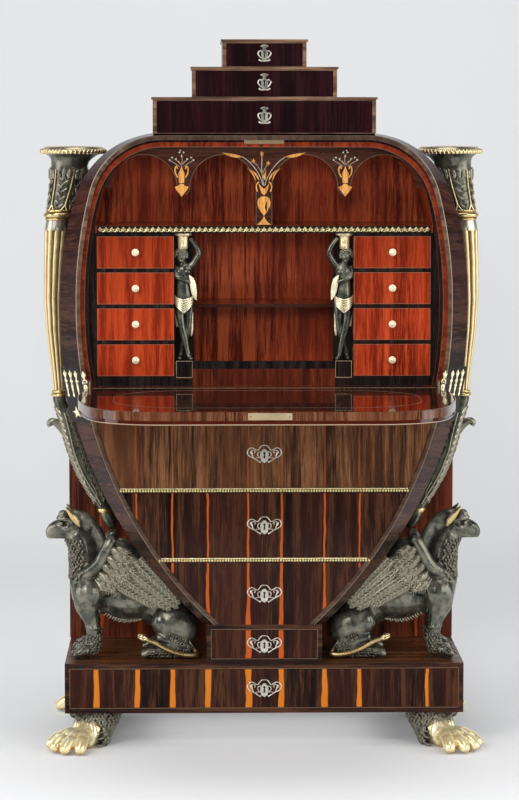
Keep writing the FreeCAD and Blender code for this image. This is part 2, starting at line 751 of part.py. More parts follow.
def build_griffins():
    """Two seated griffins on the plinth, looking outwards."""
    ledge = (plinth_width - waist_width) / 2
    scale = ledge / griffin_length

    def spot(along, across, up):
        x = -(waist_width / 2 + along * scale)
        return x, griffin_depth_centre + across * scale, plinth_top + up * scale

    def limb(stations, across):
        return tube([spot(a, across, u) + (r * scale,) for a, u, r in stations])

    pieces = [narrowed(limb(griffin_back, 0.0), griffin_depth_centre, griffin_body_share)]
    corners = [Vector(*spot(a, 0.0, u)) for a, u in griffin_wing]
    curve = Part.BSplineCurve()
    curve.interpolate(corners, PeriodicFlag=True)
    feather_face = Part.Face(Part.Wire(curve.toShape()))
    for side in (-1, 1):
        spread = side * griffin_leg_spread
        pieces.append(limb(griffin_foreleg, spread))
        pieces.append(limb(griffin_hind_foot, side * griffin_foot_spread))
        for (along, up), radii in griffin_swells:
            pieces.append(ellipsoid(spot(along, spread, up), [radius * scale for radius in radii]))
        wing = feather_face.extrude(Vector(0, wing_thickness * scale, 0))
        wing.translate(Vector(0, (side * griffin_wing_spread - wing_thickness / 2) * scale, 0))
        pieces.append(wing)
    pieces.append(limb(griffin_tail, -griffin_tail_spread))
    pieces.append(limb(griffin_tail_root, -griffin_tail_spread))
    below = box(-plinth_width, 0, -plinth_depth, plinth_depth, plinth_bottom, plinth_top)
    griffin = joined(pieces).cut(below)
    add("griffin_left", griffin)
    add("griffin_right", mirrored(griffin))


# Figure support: sections as sideways place, height above the pedestal and radius
figure_height = 271.0
figure_trunk = ((0.0, 92.0, 16.0), (0.0, 124.0, 17.0), (-1.0, 150.0, 13.0), (-1.0, 180.0, 15.0),
                (-1.0, 200.0, 16.0), (-2.0, 212.0, 8.0), (-3.0, 222.0, 8.0))
figure_legs = (((-8.0, 100.0, 10.0), (-8.0, 60.0, 7.5), (4.0, 6.0, 5.0), (4.0, 0.0, 6.0)),
               ((8.0, 100.0, 10.0), (6.0, 60.0, 7.5), (-8.0, 6.0, 5.0), (-8.0, 0.0, 6.0)))
figure_raised_arm = ((10.0, 202.0, 6.5), (28.0, 230.0, 5.0), (19.0, 262.0, 4.0))
figure_folded_arm = ((-12.0, 202.0, 6.0), (-13.0, 176.0, 5.0), (8.0, 168.0, 4.5))
figure_arm_forward = 9.0
figure_leg_apart = 4.0
figure_head = (-3.0, 226.0)
figure_head_radii = (11.0, 13.0, 16.0)
figure_basket_short = 3.0
figure_basket = ((-2.0, 238.0, 8.0), (-1.0, figure_height - figure_basket_short, 11.5))


def build_figures():
    """Two figure supports on pedestals, carrying the arcade shelf on their heads."""
    stand = base_top + pedestal_height
    scale = (shelf_z - stand) / figure_height
    middle = -(niche_half_width + post_width / 2)
    front = interior_front + (post_recess - pedestal_size) / 2
    depth = front + pedestal_size / 2

    def limb(stations, across=0.0):
        return tube([(middle + s * scale, depth + across * scale, stand + u * scale, r * scale)
                     for s, u, r in stations])

    half = pedestal_size / 2
    pedestal = box(middle - half, middle + half, front, front + pedestal_size, base_top, stand)
    plate_y = front + head_plate_set_back
    plate = box(middle - half, middle + head_plate - half, plate_y, plate_y + head_plate,
                shelf_z - head_plate_thickness, shelf_z)
    head = ellipsoid((middle + figure_head[0] * scale, depth, stand + figure_head[1] * scale),
                     [radius * scale for radius in figure_head_radii])
    pieces = [pedestal, plate, head, limb(figure_trunk), limb(figure_basket),
              limb(figure_raised_arm), limb(figure_folded_arm, -figure_arm_forward)]
    for side, leg in zip((-1, 1), figure_legs):
        pieces.append(limb(leg, side * figure_leg_apart))
    figure = joined(pieces)
    add("figure_support_left", figure)
    add("figure_support_right", mirrored(figure))


def main():
    """Build every piece and write one file for each."""
    build_plinth()
    build_feet()
    build_waist()
    build_case()
    build_big_drawers()
    build_flap()
    build_interior()
    build_stepped_top()
    build_horns()
    build_griffins()
    build_figures()
    os.makedirs("parts", exist_ok=True)
    for name, shapes in parts.items():
        solids = []
        for shape in shapes:
            moved = shape.copy()
            moved.translate(Vector(0, FRONT_PLANE_Y, 0))
            solids.extend(moved.Solids)
        whole = solids[0] if len(solids) == 1 else Part.makeCompound(solids)
        whole.exportStep(os.path.join("parts", name + ".step"))
        sound = all(solid.isValid() and solid.isClosed() for solid in solids)
        print(name, len(solids), "solids", "sound" if sound else "NOT SOUND")
    print("front plane y", round(FRONT_PLANE_Y, 3), "writing height", writing_z)


main()
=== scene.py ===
"""Looks of the fall-front desk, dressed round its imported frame.

Metres, +Z up, the front towards -Y. Every mesh is made in the frame of the desk at rest, so its
object coordinates are places on the desk.
"""

import random
from math import asin, atan2, cos, hypot, pi, radians, sin, sqrt

import bmesh
import bpy
from mathutils import Matrix, Vector
from mathutils.bvhtree import BVHTree


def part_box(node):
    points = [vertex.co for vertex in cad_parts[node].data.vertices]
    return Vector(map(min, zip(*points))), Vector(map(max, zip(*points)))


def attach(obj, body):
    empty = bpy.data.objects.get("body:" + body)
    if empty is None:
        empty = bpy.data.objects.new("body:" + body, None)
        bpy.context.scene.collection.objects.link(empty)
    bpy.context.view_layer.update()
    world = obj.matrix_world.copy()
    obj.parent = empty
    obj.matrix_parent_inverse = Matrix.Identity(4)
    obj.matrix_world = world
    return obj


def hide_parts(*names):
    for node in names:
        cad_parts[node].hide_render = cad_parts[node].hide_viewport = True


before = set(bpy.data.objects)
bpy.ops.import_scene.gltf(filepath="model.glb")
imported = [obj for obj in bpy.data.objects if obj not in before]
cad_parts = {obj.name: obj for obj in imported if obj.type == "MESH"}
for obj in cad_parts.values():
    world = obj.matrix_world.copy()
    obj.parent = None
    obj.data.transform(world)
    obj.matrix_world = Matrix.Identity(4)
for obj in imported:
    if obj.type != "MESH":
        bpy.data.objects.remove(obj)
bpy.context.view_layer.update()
MM = 0.001
DESK = "desk"
TIERS = ("lower", "middle", "upper")
SIDES = ("left", "right")
SMALL_DRAWERS = ["%s_%d" % (side, row) for side in SIDES for row in (1, 2, 3, 4)]
IDENTITY = Matrix.Identity(4)
MIRROR = Matrix.Scale(-1, 4, Vector((1, 0, 0)))

# Levels and faces read from the frame
plinth_low, plinth_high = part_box("plinth_case")
waist_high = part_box("waist_case")[1]
case_low, case_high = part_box("case_side_right")
fall_low, fall_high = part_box("fall_board")
FRONT = plinth_low.y
PLINTH_TOP = plinth_high.z
CASE_BOTTOM = case_low.z
WRITING = fall_high.z
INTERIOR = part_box("interior_shelves")[0].y

# Oval of the case, as it is drawn in the solids
BELLY_TOP = 0.936
WIDEST = 0.955
EDGE_BEAD = 0.010
REBATE = 0.0272
CAVITY_INSET = 0.025
CANT_DEPTH = 0.036

# Fall and niche, as they are drawn in the solids
FLAP_INSET = 0.0108
FLAP_THICK = fall_high.z - fall_low.z
FALL_END = 0.3657
PIN_Y = FRONT + FLAP_THICK / 2
PIN_Z = WRITING - FLAP_THICK / 2
NICHE_SHELF_DEPTH = 0.120
NICHE_HALF = 0.151
NICHE_SHELF_HALF = 0.1484
NEST_INNER = 0.189

# Thickness of veneers and inlaid lines, and of the layers on the rebate that the closed fall comes up to
VENEER = 0.0004
LINE_EDGE = 0.0001
FILM = 0.00006


# Building meshes

def smooth(points, steps):
    """Points along a smooth curve through the given ones, all their numbers alike."""
    out = []
    last = len(points) - 1
    for i in range(last):
        before, here = points[max(i - 1, 0)], points[i]
        after, beyond = points[i + 1], points[min(i + 2, last)]
        for k in range(steps):
            t = k / steps
            row = []
            for a, b, c, d in zip(before, here, after, beyond):
                bend = (2 * a - 5 * b + 4 * c - d) * t * t + (3 * b - a - 3 * c + d) * t ** 3
                row.append(0.5 * (2 * b + (c - a) * t + bend))
            out.append(tuple(row))
    out.append(tuple(points[last]))
    return out


def frames_along(path):
    """Run, side and lift directions at each point of a path, turning as little as they can."""
    last = len(path) - 1
    out = []
    side = None
    for i in range(len(path)):
        run = (path[min(i + 1, last)] - path[max(i - 1, 0)]).normalized()
        if side is None:
            side = run.orthogonal()
        side = (side - run * side.dot(run)).normalized()
        out.append((run, side, run.cross(side)))
    return out


def turns(count):
    """Evenly spaced angles once round."""
    return [2 * pi * k / count for k in range(count)]


def heading(turn):
    """Level direction at an angle."""
    return Vector((cos(turn), sin(turn), 0))


def circle(centre, side, up, wide, high, sides):
    """Ring of points about a centre, with a radius along each of two directions."""
    return [centre + side * (wide * cos(turn)) + up * (high * sin(turn)) for turn in turns(sides)]


def arc(x, z, radius, start, end, steps):
    """Points on a flat arc from one angle to another."""
    angles = [start + (end - start) * k / steps for k in range(steps + 1)]
    return [(x + radius * cos(angle), z + radius * sin(angle)) for angle in angles]


class Form:
    """Points and faces of a piece while it is being built."""

    def __init__(self):
        self.points = []
        self.faces = []

    def rings(self, rings, closed=True):
        """Skin over rows of points. A closed one goes right round and has its ends capped."""
        start = len(self.points)
        count = len(rings[0])
        for ring in rings:
            self.points.extend(Vector(p) for p in ring)
        for i in range(len(rings) - 1):
            for j in range(count if closed else count - 1):
                a = start + i * count + j
                b = start + i * count + (j + 1) % count
                self.faces.append((a, b, b + count, a + count))
        if closed:
            top = start + (len(rings) - 1) * count
            self.faces.append(tuple(range(start + count - 1, start - 1, -1)))
            self.faces.append(tuple(range(top, top + count)))

    def tube(self, stations, sides=12, flat=1.0, lift=None):
        """Round or flattened tube: each station is x, y, z, radius. lift turns its flat side."""
        path = [Vector(s[:3]) for s in stations]
        rings = []
        for place, station, (run, side, up) in zip(path, stations, frames_along(path)):
            if lift is not None:
                up = (lift - run * lift.dot(run)).normalized()
                side = up.cross(run)
            rings.append(circle(place, side, up, station[3], station[3] * flat, sides))
        self.rings(rings)

    def ball(self, centre, radii, turn=None, rows=10, sides=16):
        """Ellipsoid with three radii, turned by a rotation matrix where one is given."""
        rings = []
        for i in range(rows + 1):
            polar = pi * (0.02 + 0.96 * i / rows)
            ring = []
            for around in turns(sides):
                offset = Vector((radii[0] * sin(polar) * cos(around),
                                 radii[1] * sin(polar) * sin(around),
                                 -radii[2] * cos(polar)))
                if turn is not None:
                    offset = turn @ offset
                ring.append(Vector(centre) + offset)
            rings.append(ring)
        self.rings(rings)

    def lathe(self, profile, centre, axis, sides=32):
        """Turned form: each profile entry is a distance along the axis and a radius."""
        axis = Vector(axis).normalized()
        side = axis.orthogonal().normalized()
        up = axis.cross(side)
        self.rings([circle(Vector(centre) + axis * along, side, up, radius, radius, sides)
                    for along, radius in profile])

    def place(self, other, matrix=IDENTITY):
        """Add a copy of another form, put through a matrix where one is given."""
        start = len(self.points)
        self.points.extend(matrix @ p for p in other.points)
        flip = matrix.determinant() < 0
        for face in other.faces:
            moved = tuple(start + i for i in face)
            self.faces.append(moved[::-1] if flip else moved)

    def put(self, matrix):
        """New form: this one put through a matrix."""
        out = Form()
        out.place(self, matrix)
        return out

    def take(self, mesh, matrix=IDENTITY):
        """Add a copy of a finished mesh, put through a matrix where one is given."""
        other = Form()
        other.points = [v.co.copy() for v in mesh.vertices]
        other.faces = [tuple(p.vertices) for p in mesh.polygons]
        self.place(other, matrix)

    def mesh(self, name):
        """Mesh of the form with its faces turned outwards part by part."""
        made = bpy.data.meshes.new(name)
        made.from_pydata([tuple(p) for p in self.points], [], self.faces)
        made.validate()
        work = bmesh.new()
        work.from_mesh(made)
        bmesh.ops.recalc_face_normals(work, faces=work.faces)
        work.to_mesh(made)
        work.free()
        return made


def keep_mesh(obj):
    """Mesh of an object with its modifiers carried out. The object goes."""
    graph = bpy.context.evaluated_depsgraph_get()
    made = bpy.data.meshes.new_from_object(obj.evaluated_get(graph))
    bpy.data.objects.remove(obj)
    return made


def lone_object(name, data):
    """New object in the scene."""
    obj = bpy.data.objects.new(name, data)
    bpy.context.scene.collection.objects.link(obj)
    return obj


def fused(form, name, voxel, passes):
    """One skin over the overlapping masses of a form, smoothed like carved wood."""
    obj = lone_object(name, form.mesh(name))
    skin = obj.modifiers.new("skin", "REMESH")
    skin.mode = "VOXEL"
    skin.voxel_size = voxel
    ease = obj.modifiers.new("ease", "SMOOTH")
    ease.factor = 0.5
    ease.iterations = passes
    out = Form()
    out.take(keep_mesh(obj))
    return out


def flat_plate(outlines, thick, edge):
    """Plate with the filled outlines, holes where they nest, in its own XZ plane and facing -Y."""
    curve = bpy.data.curves.new("plate", "CURVE")
    curve.dimensions = "2D"
    curve.fill_mode = "BOTH"
    curve.extrude = max(thick / 2 - edge, 0.0)
    curve.bevel_depth = edge
    curve.bevel_resolution = 3
    curve.offset = -edge
    for outline in outlines:
        spline = curve.splines.new("POLY")
        spline.points.add(len(outline) - 1)
        for point, (x, z) in zip(spline.points, outline):
            point.co = (x, z, 0, 1)
        spline.use_cyclic_u = True
    out = Form()
    stand = Matrix.Rotation(pi / 2, 4, "X")
    out.take(keep_mesh(lone_object("plate", curve)), stand)
    bpy.data.curves.remove(curve)
    return out


def piece(name, form, material, body=DESK, sharp=35.0, replaces=()):
    """Object of a form, or of a finished mesh, that rides on a body with its finish."""
    mesh = form.mesh(name) if isinstance(form, Form) else form
    mesh.shade_smooth()
    mesh.set_sharp_from_angle(angle=radians(sharp))
    mesh.materials.append(material)
    obj = lone_object(name, mesh)
    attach(obj, body)
    if replaces:
        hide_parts(*replaces)


def pair(name, parts, node_name, stand=IDENTITY, sharp=60.0):
    """Parts at the right of the desk and their mirror images. The part with no name replaces the node."""
    for side, turn in zip(SIDES, (MIRROR, IDENTITY)):
        for part, form, material, slot in parts:
            replaced = () if part else (node_name % side,)
            piece(name % side + part, form.put(turn @ stand), material, DESK, sharp, replaced)


def strip_piece(name, rails, material):
    """Thin closed veneer strip over rows of points, with its length and width in metres as its UV map."""
    count, rows = len(rails[0]), len(rails)
    rings = []
    for j in range(count):
        ring = [Vector(row[j]) for row in rails]
        ahead = Vector(rails[0][min(j + 1, count - 1)]) - Vector(rails[0][max(j - 1, 0)])
        out = ahead.cross(ring[-1] - ring[0]).normalized()
        if out.dot(Vector((ring[0].x, -1.0, ring[0].z - WRITING))) < 0:
            out = -out
        rings.append(ring + [p - out * VENEER for p in reversed(ring)])
    form = Form()
    form.rings(rings)
    mesh = form.mesh(name)
    along = [0.0]
    for a, b in zip(rails[0], rails[0][1:]):
        along.append(along[-1] + (Vector(b) - Vector(a)).length)
    across = [0.0]
    for a, b in zip(rails, rails[1:]):
        across.append(across[-1] + (Vector(b[count // 2]) - Vector(a[count // 2])).length)
    layer = mesh.uv_layers.new(name="length_width")
    for loop in mesh.loops:
        column, row = divmod(loop.vertex_index, 2 * rows)
        layer.data[loop.index].uv = (along[column], across[min(row, 2 * rows - 1 - row)])
    piece(name, mesh, material)


# Nodes of the finishes

def feed(tree, made, inputs):
    """Link or set the inputs of a node."""
    for key, value in inputs.items():
        socket = made.inputs[key]
        if isinstance(value, bpy.types.NodeSocket):
            tree.links.new(value, socket)
        else:
            socket.default_value = value


def node(tree, kind, inputs=None, **settings):
    """New node with its settings, and its inputs linked or set."""
    made = tree.nodes.new("ShaderNode" + kind)
    for key, value in settings.items():
        setattr(made, key, value)
    feed(tree, made, inputs or {})
    return made


def calc(tree, operation, *values):
    """Result of a sum on sockets or numbers."""
    return node(tree, "Math", dict(enumerate(values)), operation=operation).outputs[0]


def times(tree, a, b):
    """Product of two sockets or numbers."""
    return calc(tree, "MULTIPLY", a, b)


def times_plus(tree, a, b, c):
    """Product of two sockets or numbers with a third added."""
    return calc(tree, "MULTIPLY_ADD", a, b, c)


def reach(tree, value, low, high, to_low=0.0, to_high=1.0):
    """Value carried smoothly from one range to another."""
    made = node(tree, "MapRange", {"Value": value, "From Min": low, "From Max": high,
                                   "To Min": to_low, "To Max": to_high},
                interpolation_type="SMOOTHSTEP")
    return made.outputs["Result"]


def tint(tree, share, a, b):
    """Colour between two others, each a socket or its red, green and blue."""
    ends = [(*end, 1.0) if isinstance(end, tuple) else end for end in (a, b)]
    return node(tree, "Mix", {0: share, 6: ends[0], 7: ends[1]}, data_type="RGBA").outputs[2]


def grain_noise(tree, vector, scale, detail=3.0, rough=0.55):
    """Cloudy value at a scale in features per metre."""
    made = node(tree, "TexNoise", {"Vector": vector, "Scale": scale, "Detail": detail, "Roughness": rough})
    return made.outputs["Fac"]


def new_group(name, inputs, outputs):
    """Node group with named sockets, its outputs plain values: its tree, its inputs and its outputs."""
    tree = bpy.data.node_groups.new(name, "ShaderNodeTree")
    for label, kind, value in inputs:
        made = tree.interface.new_socket(label, in_out="INPUT", socket_type="NodeSocket" + kind)
        if value is not None:
            made.default_value = value
    for label in outputs:
        tree.interface.new_socket(label, in_out="OUTPUT", socket_type="NodeSocketFloat")
    source = tree.nodes.new("NodeGroupInput")
    sink = tree.nodes.new("NodeGroupOutput")
    return tree, source.outputs, sink


def use(tree, group, inputs):
    """A group placed in a tree."""
    return node(tree, "Group", inputs, node_tree=group).outputs


def wood_grain_group():
    """Figure, pores and relief of a veneer. Place is already drawn out along the grain."""
    inputs = [("Place", "Vector", None), ("Bands", "Float", 40.0), ("Seed", "Float", 0.0)]
    tree, source, sink = new_group("wood_grain", inputs, ("Figure", "Blush", "Pores", "Height"))
    bands, seed = source["Bands"], source["Seed"]
    shift = node(tree, "CombineXYZ", {"X": seed, "Y": times(tree, seed, 1.7)}).outputs[0]
    place = node(tree, "VectorMath", {0: source["Place"], 1: shift}, operation="ADD").outputs[0]
    wave = node(tree, "TexNoise", {"Vector": place, "Scale": 9.0, "Detail": 2.0}).outputs["Color"]
    wander = {0: wave, 1: (0.012, 0.012, 0.012), 2: place}
    place = node(tree, "VectorMath", wander, operation="MULTIPLY_ADD").outputs[0]
    broad = grain_noise(tree, place, bands, 4.0, 0.6)
    fine = grain_noise(tree, place, times(tree, bands, 7.0), 3.0, 0.6)
    figure = reach(tree, times_plus(tree, broad, 0.62, times(tree, fine, 0.38)), 0.39, 0.61)
    pores = reach(tree, grain_noise(tree, place, times(tree, bands, 26.0), 2.0), 0.56, 0.7)
    blush = reach(tree, grain_noise(tree, place, 7.0, 2.0), 0.35, 0.7)
    height = calc(tree, "SUBTRACT", times(tree, figure, 0.4), times(tree, pores, 0.6))
    feed(tree, sink, {"Figure": figure, "Blush": blush, "Pores": pores, "Height": height})
    return tree


# Sapwood streaks of the striped veneer: place across the desk and half width
STREAKS = ((-0.358, 0.0070), (-0.271, 0.0060), (-0.195, 0.0065), (-0.120, 0.0070), (-0.034, 0.0075),
           (0.036, 0.0068), (0.128, 0.0066), (0.202, 0.0056), (0.347, 0.0042))


def sapwood_group():
    """Bright sapwood streaks that run up through the drawers, wavering and swelling as they go."""
    inputs = [("Across", "Float", 0.0), ("Along", "Float", 0.0)]
    tree, source, sink = new_group("sapwood_streaks", inputs, ("Mask",))
    spot = node(tree, "CombineXYZ", {"X": times(tree, source["Across"], 9.0),
                                     "Z": times(tree, source["Along"], 13.0)}).outputs[0]
    waver = grain_noise(tree, spot, 1.0, 2.0)
    across = times_plus(tree, calc(tree, "SUBTRACT", waver, 0.5), 0.009, source["Across"])
    swell = times(tree, reach(tree, source["Along"], 0.21, 0.47, 1.0, 2.8),
                  reach(tree, grain_noise(tree, spot, 1.2, 1.0), 0.3, 0.7, 0.86, 1.25))
    mask = None
    for middle, half in STREAKS:
        away = times(tree, calc(tree, "ABSOLUTE", calc(tree, "SUBTRACT", across, middle)), swell)
        one = reach(tree, away, half, 0.72 * half)
        mask = one if mask is None else calc(tree, "MAXIMUM", mask, one)
    feed(tree, sink, {"Mask": mask})
    return tree


def polish_group():
    """Slight unevenness of a hand-rubbed polish, and dull specks of age."""
    inputs = [("Place", "Vector", None), ("Gloss", "Float", 0.2)]
    tree, source, sink = new_group("hand_polish", inputs, ("Roughness", "Height"))
    cloud = grain_noise(tree, source["Place"], 14.0, 3.0)
    speck = reach(tree, grain_noise(tree, source["Place"], 420.0, 2.0), 0.66, 0.75)
    rough = times_plus(tree, reach(tree, cloud, 0.35, 0.7), 0.10, source["Gloss"])
    rough = times_plus(tree, speck, 0.12, rough)
    height = times_plus(tree, cloud, 0.5, times(tree, speck, -0.2))
    feed(tree, sink, {"Roughness": rough, "Height": height})
    return tree


def aged_metal_group():
    """Rubbed high places, dark hollows and a fine unevenness for gilding and bronze."""
    inputs = [("Place", "Vector", None), ("Ridge", "Float", 0.5), ("Grain", "Float", 260.0)]
    tree, source, sink = new_group("aged_metal", inputs, ("Rubbed", "Hollow", "Mottle", "Height"))
    rubbed = reach(tree, source["Ridge"], 0.51, 0.60)
    hollow = reach(tree, source["Ridge"], 0.49, 0.42)
    mottle = reach(tree, grain_noise(tree, source["Place"], 38.0, 5.0, 0.65), 0.35, 0.68)
    height = grain_noise(tree, source["Place"], source["Grain"], 4.0)
    feed(tree, sink, {"Rubbed": rubbed, "Hollow": hollow, "Mottle": mottle, "Height": height})
    return tree


WOOD_GRAIN = wood_grain_group()
SAPWOOD = sapwood_group()
POLISH = polish_group()
AGED_METAL = aged_metal_group()

# How far a grain pattern is drawn out along the grain
DRAWN = 0.05


def new_material(name):
    """Empty material with its shader: the material, its tree and the shader."""
    material = bpy.data.materials.new(name)
    material.use_nodes = True
    tree = material.node_tree
    return material, tree, tree.nodes["Principled BSDF"]


def places(tree):
    """Place and facing on the desk at rest: the place, its three parts and those of the normal."""
    spot = node(tree, "TexCoord")
    parts = node(tree, "SeparateXYZ", {0: spot.outputs["Object"]}).outputs
    facing = node(tree, "SeparateXYZ", {0: spot.outputs["Normal"]}).outputs
    return spot.outputs["Object"], parts, facing


def upright(tree, parts, facing):
    """Grain that stands upright on walls and runs front to back on level faces."""
    level = calc(tree, "GREATER_THAN", calc(tree, "ABSOLUTE", facing["Z"]), 0.6)
    shrink = times_plus(tree, level, DRAWN - 1.0, 1.0)
    return node(tree, "CombineXYZ", {"X": parts["X"], "Y": times(tree, parts["Y"], shrink),
                                     "Z": times(tree, parts["Z"], DRAWN)}).outputs[0]


def lying(tree, parts, facing):
    """Grain that runs along the width of the desk, and front to back on its ends."""
    end = calc(tree, "GREATER_THAN", calc(tree, "ABSOLUTE", facing["X"]), 0.6)
    shrink = times_plus(tree, end, DRAWN - 1.0, 1.0)
    return node(tree, "CombineXYZ", {"X": times(tree, parts["X"], DRAWN), "Z": parts["Z"],
                                     "Y": times(tree, parts["Y"], shrink)}).outputs[0]


def strip_place(tree):
    """Length and width on a veneer strip, as X and Y."""
    spot = node(tree, "UVMap", uv_map="length_width").outputs[0]
    return node(tree, "SeparateXYZ", {0: spot}).outputs


def crossways(tree):
    """Grain that runs across a veneer strip, from its length and width."""
    spot = strip_place(tree)
    return node(tree, "CombineXYZ", {"X": spot["X"], "Z": times(tree, spot["Y"], 3 * DRAWN)}).outputs[0]


def veneer_colour(tree, place, dark, mid, light, blush, bands, seed):
    """Colour and relief of one veneer."""
    grain = use(tree, WOOD_GRAIN, {"Place": place, "Bands": bands, "Seed": seed})
    low = tint(tree, reach(tree, grain["Figure"], 0.0, 0.55), dark, mid)
    colour = tint(tree, reach(tree, grain["Figure"], 0.5, 1.0), low, light)
    colour = tint(tree, times(tree, grain["Blush"], 0.55), colour, blush)
    return tint(tree, times(tree, grain["Pores"], 0.55), colour, dark), grain["Height"]


def finish_wood(tree, shader, colour, relief, spot, gloss, coat=0.3, coat_rough=0.06, shine=0.18):
    """Polished wood from its colour and relief."""
    polish = use(tree, POLISH, {"Place": spot, "Gloss": gloss})
    height = times_plus(tree, polish["Height"], 0.35, relief)
    bump = node(tree, "Bump", {"Height": height, "Strength": 0.35, "Distance": 0.00012}).outputs[0]
    feed(tree, shader, {"Base Color": colour, "Roughness": polish["Roughness"], "Normal": bump,
                        "Specular IOR Level": shine, "Coat Weight": coat, "Coat Roughness": coat_rough})


def striped_front(name, tones, streak, seed, bands=55.0, gloss=0.2, behind=None, streak_share=1.0,
                  painted_top_shade=None, shine=0.05):
    """Upright striped veneer: sapwood streaks, painted shade darker towards the top and oak behind a depth
    where asked for.
    """
    material, tree, shader = new_material(name)
    spot, parts, facing = places(tree)
    colour, relief = veneer_colour(tree, upright(tree, parts, facing), *tones, bands, seed)
    if streak:
        mask = use(tree, SAPWOOD, {"Across": parts["X"], "Along": parts["Z"]})["Mask"]
        vein = grain_noise(tree, upright(tree, parts, facing), 300.0, 2.0)
        bright = tint(tree, vein, streak[0], streak[1])
        colour = tint(tree, times(tree, mask, streak_share), colour, bright)
    if painted_top_shade:
        # Painted shade: the colour is drawn towards the darkest tone higher up, so the upper drawers look
        # shaded.
        low, high, share = painted_top_shade
        colour = tint(tree, reach(tree, parts["Z"], low, high, 0.0, share), colour, tones[0])
    if behind is not None:
        plain, _ = veneer_colour(tree, lying(tree, parts, facing), *OAK_TONES, 60.0, seed)
        deep = calc(tree, "GREATER_THAN", parts["Y"], behind)
        colour = tint(tree, deep, colour, plain)
    finish_wood(tree, shader, colour, relief, spot, gloss, shine, shine=shine)
    return material


# Tones of each veneer: dark, middle, light and blush
OAK_TONES = ((0.15, 0.085, 0.04), (0.30, 0.19, 0.10), (0.42, 0.29, 0.17), (0.34, 0.22, 0.12))
DARK_TONES = ((0.003, 0.0018, 0.0015), (0.018, 0.0068, 0.0041), (0.060, 0.0245, 0.0108),
              (0.039, 0.0092, 0.006))
BROWN_TONES = ((0.022, 0.009, 0.005), (0.085, 0.035, 0.015), (0.175, 0.078, 0.034), (0.1, 0.034, 0.014))
TIER_TONES = ((0.005, 0.002, 0.0026), (0.009, 0.0025, 0.0036), (0.017, 0.0042, 0.0056),
              (0.024, 0.0037, 0.0052))
RED_TONES = ((0.090, 0.010, 0.004), (0.29, 0.030, 0.009), (0.46, 0.064, 0.017), (0.34, 0.032, 0.009))
DEEP_RED_TONES = ((0.07, 0.011, 0.005), (0.23, 0.033, 0.01), (0.4, 0.072, 0.022), (0.27, 0.032, 0.01))
PANEL_TONES = ((0.012, 0.005, 0.004), (0.060, 0.018, 0.010), (0.13, 0.034, 0.015), (0.10, 0.018, 0.010))
CASE_TONES = ((0.006, 0.003, 0.0025), (0.026, 0.01, 0.007), (0.06, 0.025, 0.015), (0.05, 0.012, 0.009))
EDGE_TONES = ((0.026, 0.009, 0.004), (0.090, 0.031, 0.014), (0.155, 0.064, 0.030), (0.105, 0.034, 0.014))
FALL_TONES = ((0.009, 0.002, 0.0015), (0.027, 0.005, 0.0023), (0.050, 0.010, 0.004), (0.033, 0.005, 0.0023))
BAND_TONES = ((0.055, 0.008, 0.004), (0.17, 0.022, 0.008), (0.27, 0.045, 0.012), (0.20, 0.024, 0.008))
RISER_TONES = ((0.022, 0.005, 0.003), (0.070, 0.013, 0.006), (0.13, 0.027, 0.010), (0.085, 0.013, 0.006))
BOARD_TONES = ((0.09, 0.015, 0.008), (0.28, 0.043, 0.015), (0.47, 0.092, 0.030), (0.33, 0.042, 0.015))
FRAME_TONES = ((0.038, 0.020, 0.013), (0.105, 0.057, 0.036), (0.19, 0.112, 0.068), (0.12, 0.062, 0.035))
ARCADE_TONES = ((0.008, 0.004, 0.003), (0.028, 0.012, 0.008), (0.055, 0.025, 0.015), (0.05, 0.013, 0.008))
BLACK_TONES = ((0.004, 0.003, 0.003), (0.011, 0.008, 0.007), (0.022, 0.016, 0.013), (0.014, 0.008, 0.006))
ORANGE = ((0.26, 0.040, 0.006), (0.40, 0.085, 0.012))
AMBER = ((0.36, 0.085, 0.008), (0.50, 0.165, 0.016))
DULL_ORANGE = ((0.30, 0.070, 0.018), (0.40, 0.11, 0.028))


def plain_wood(name, tones, seed, bands, gloss, run, coat=0.3):
    """Polished veneer with no streaks, its grain upright, lying or across a strip."""
    material, tree, shader = new_material(name)
    spot, parts, facing = places(tree)
    if run == "upright":
        place = upright(tree, parts, facing)
    elif run == "lying":
        place = lying(tree, parts, facing)
    else:
        place = crossways(tree)
    colour, relief = veneer_colour(tree, place, *tones, bands, seed)
    finish_wood(tree, shader, colour, relief, spot, gloss, coat)
    return material


def carcass_wood():
    """Case shell: brown veneer outside and red mahogany inside, told apart by which way a face looks."""
    material, tree, shader = new_material("case_shell")
    spot, parts, facing = places(tree)
    drawn = node(tree, "CombineXYZ", {"X": parts["X"], "Y": times(tree, parts["Y"], DRAWN),
                                      "Z": parts["Z"]}).outputs[0]
    outside, relief = veneer_colour(tree, drawn, *CASE_TONES, 34.0, 3.0)
    inside, _ = veneer_colour(tree, upright(tree, parts, facing), *DEEP_RED_TONES, 60.0, 5.0)
    towards_x = times(tree, facing["X"], parts["X"])
    up = calc(tree, "SUBTRACT", parts["Z"], WRITING)
    out = times_plus(tree, facing["Z"], up, towards_x)
    flat = calc(tree, "GREATER_THAN", calc(tree, "ABSOLUTE", facing["Y"]), 0.7)
    shown = calc(tree, "MAXIMUM", calc(tree, "GREATER_THAN", out, 0.002), flat)
    colour = tint(tree, shown, inside, outside)
    finish_wood(tree, shader, colour, relief, spot, 0.24, 0.15)
    return material


def plinth_wood():
    """Plinth and waist: dark walls and a lighter brown top, their grain along the width."""
    material, tree, shader = new_material("plinth_frame")
    spot, parts, facing = places(tree)
    walls, relief = veneer_colour(tree, lying(tree, parts, facing), *DARK_TONES, 60.0, 24.0)
    top, _ = veneer_colour(tree, lying(tree, parts, facing), *BROWN_TONES, 60.0, 25.0)
    colour = tint(tree, calc(tree, "GREATER_THAN", facing["Z"], 0.7), walls, top)
    finish_wood(tree, shader, colour, relief, spot, 0.26, 0.08, 0.12, 0.08)
    return material


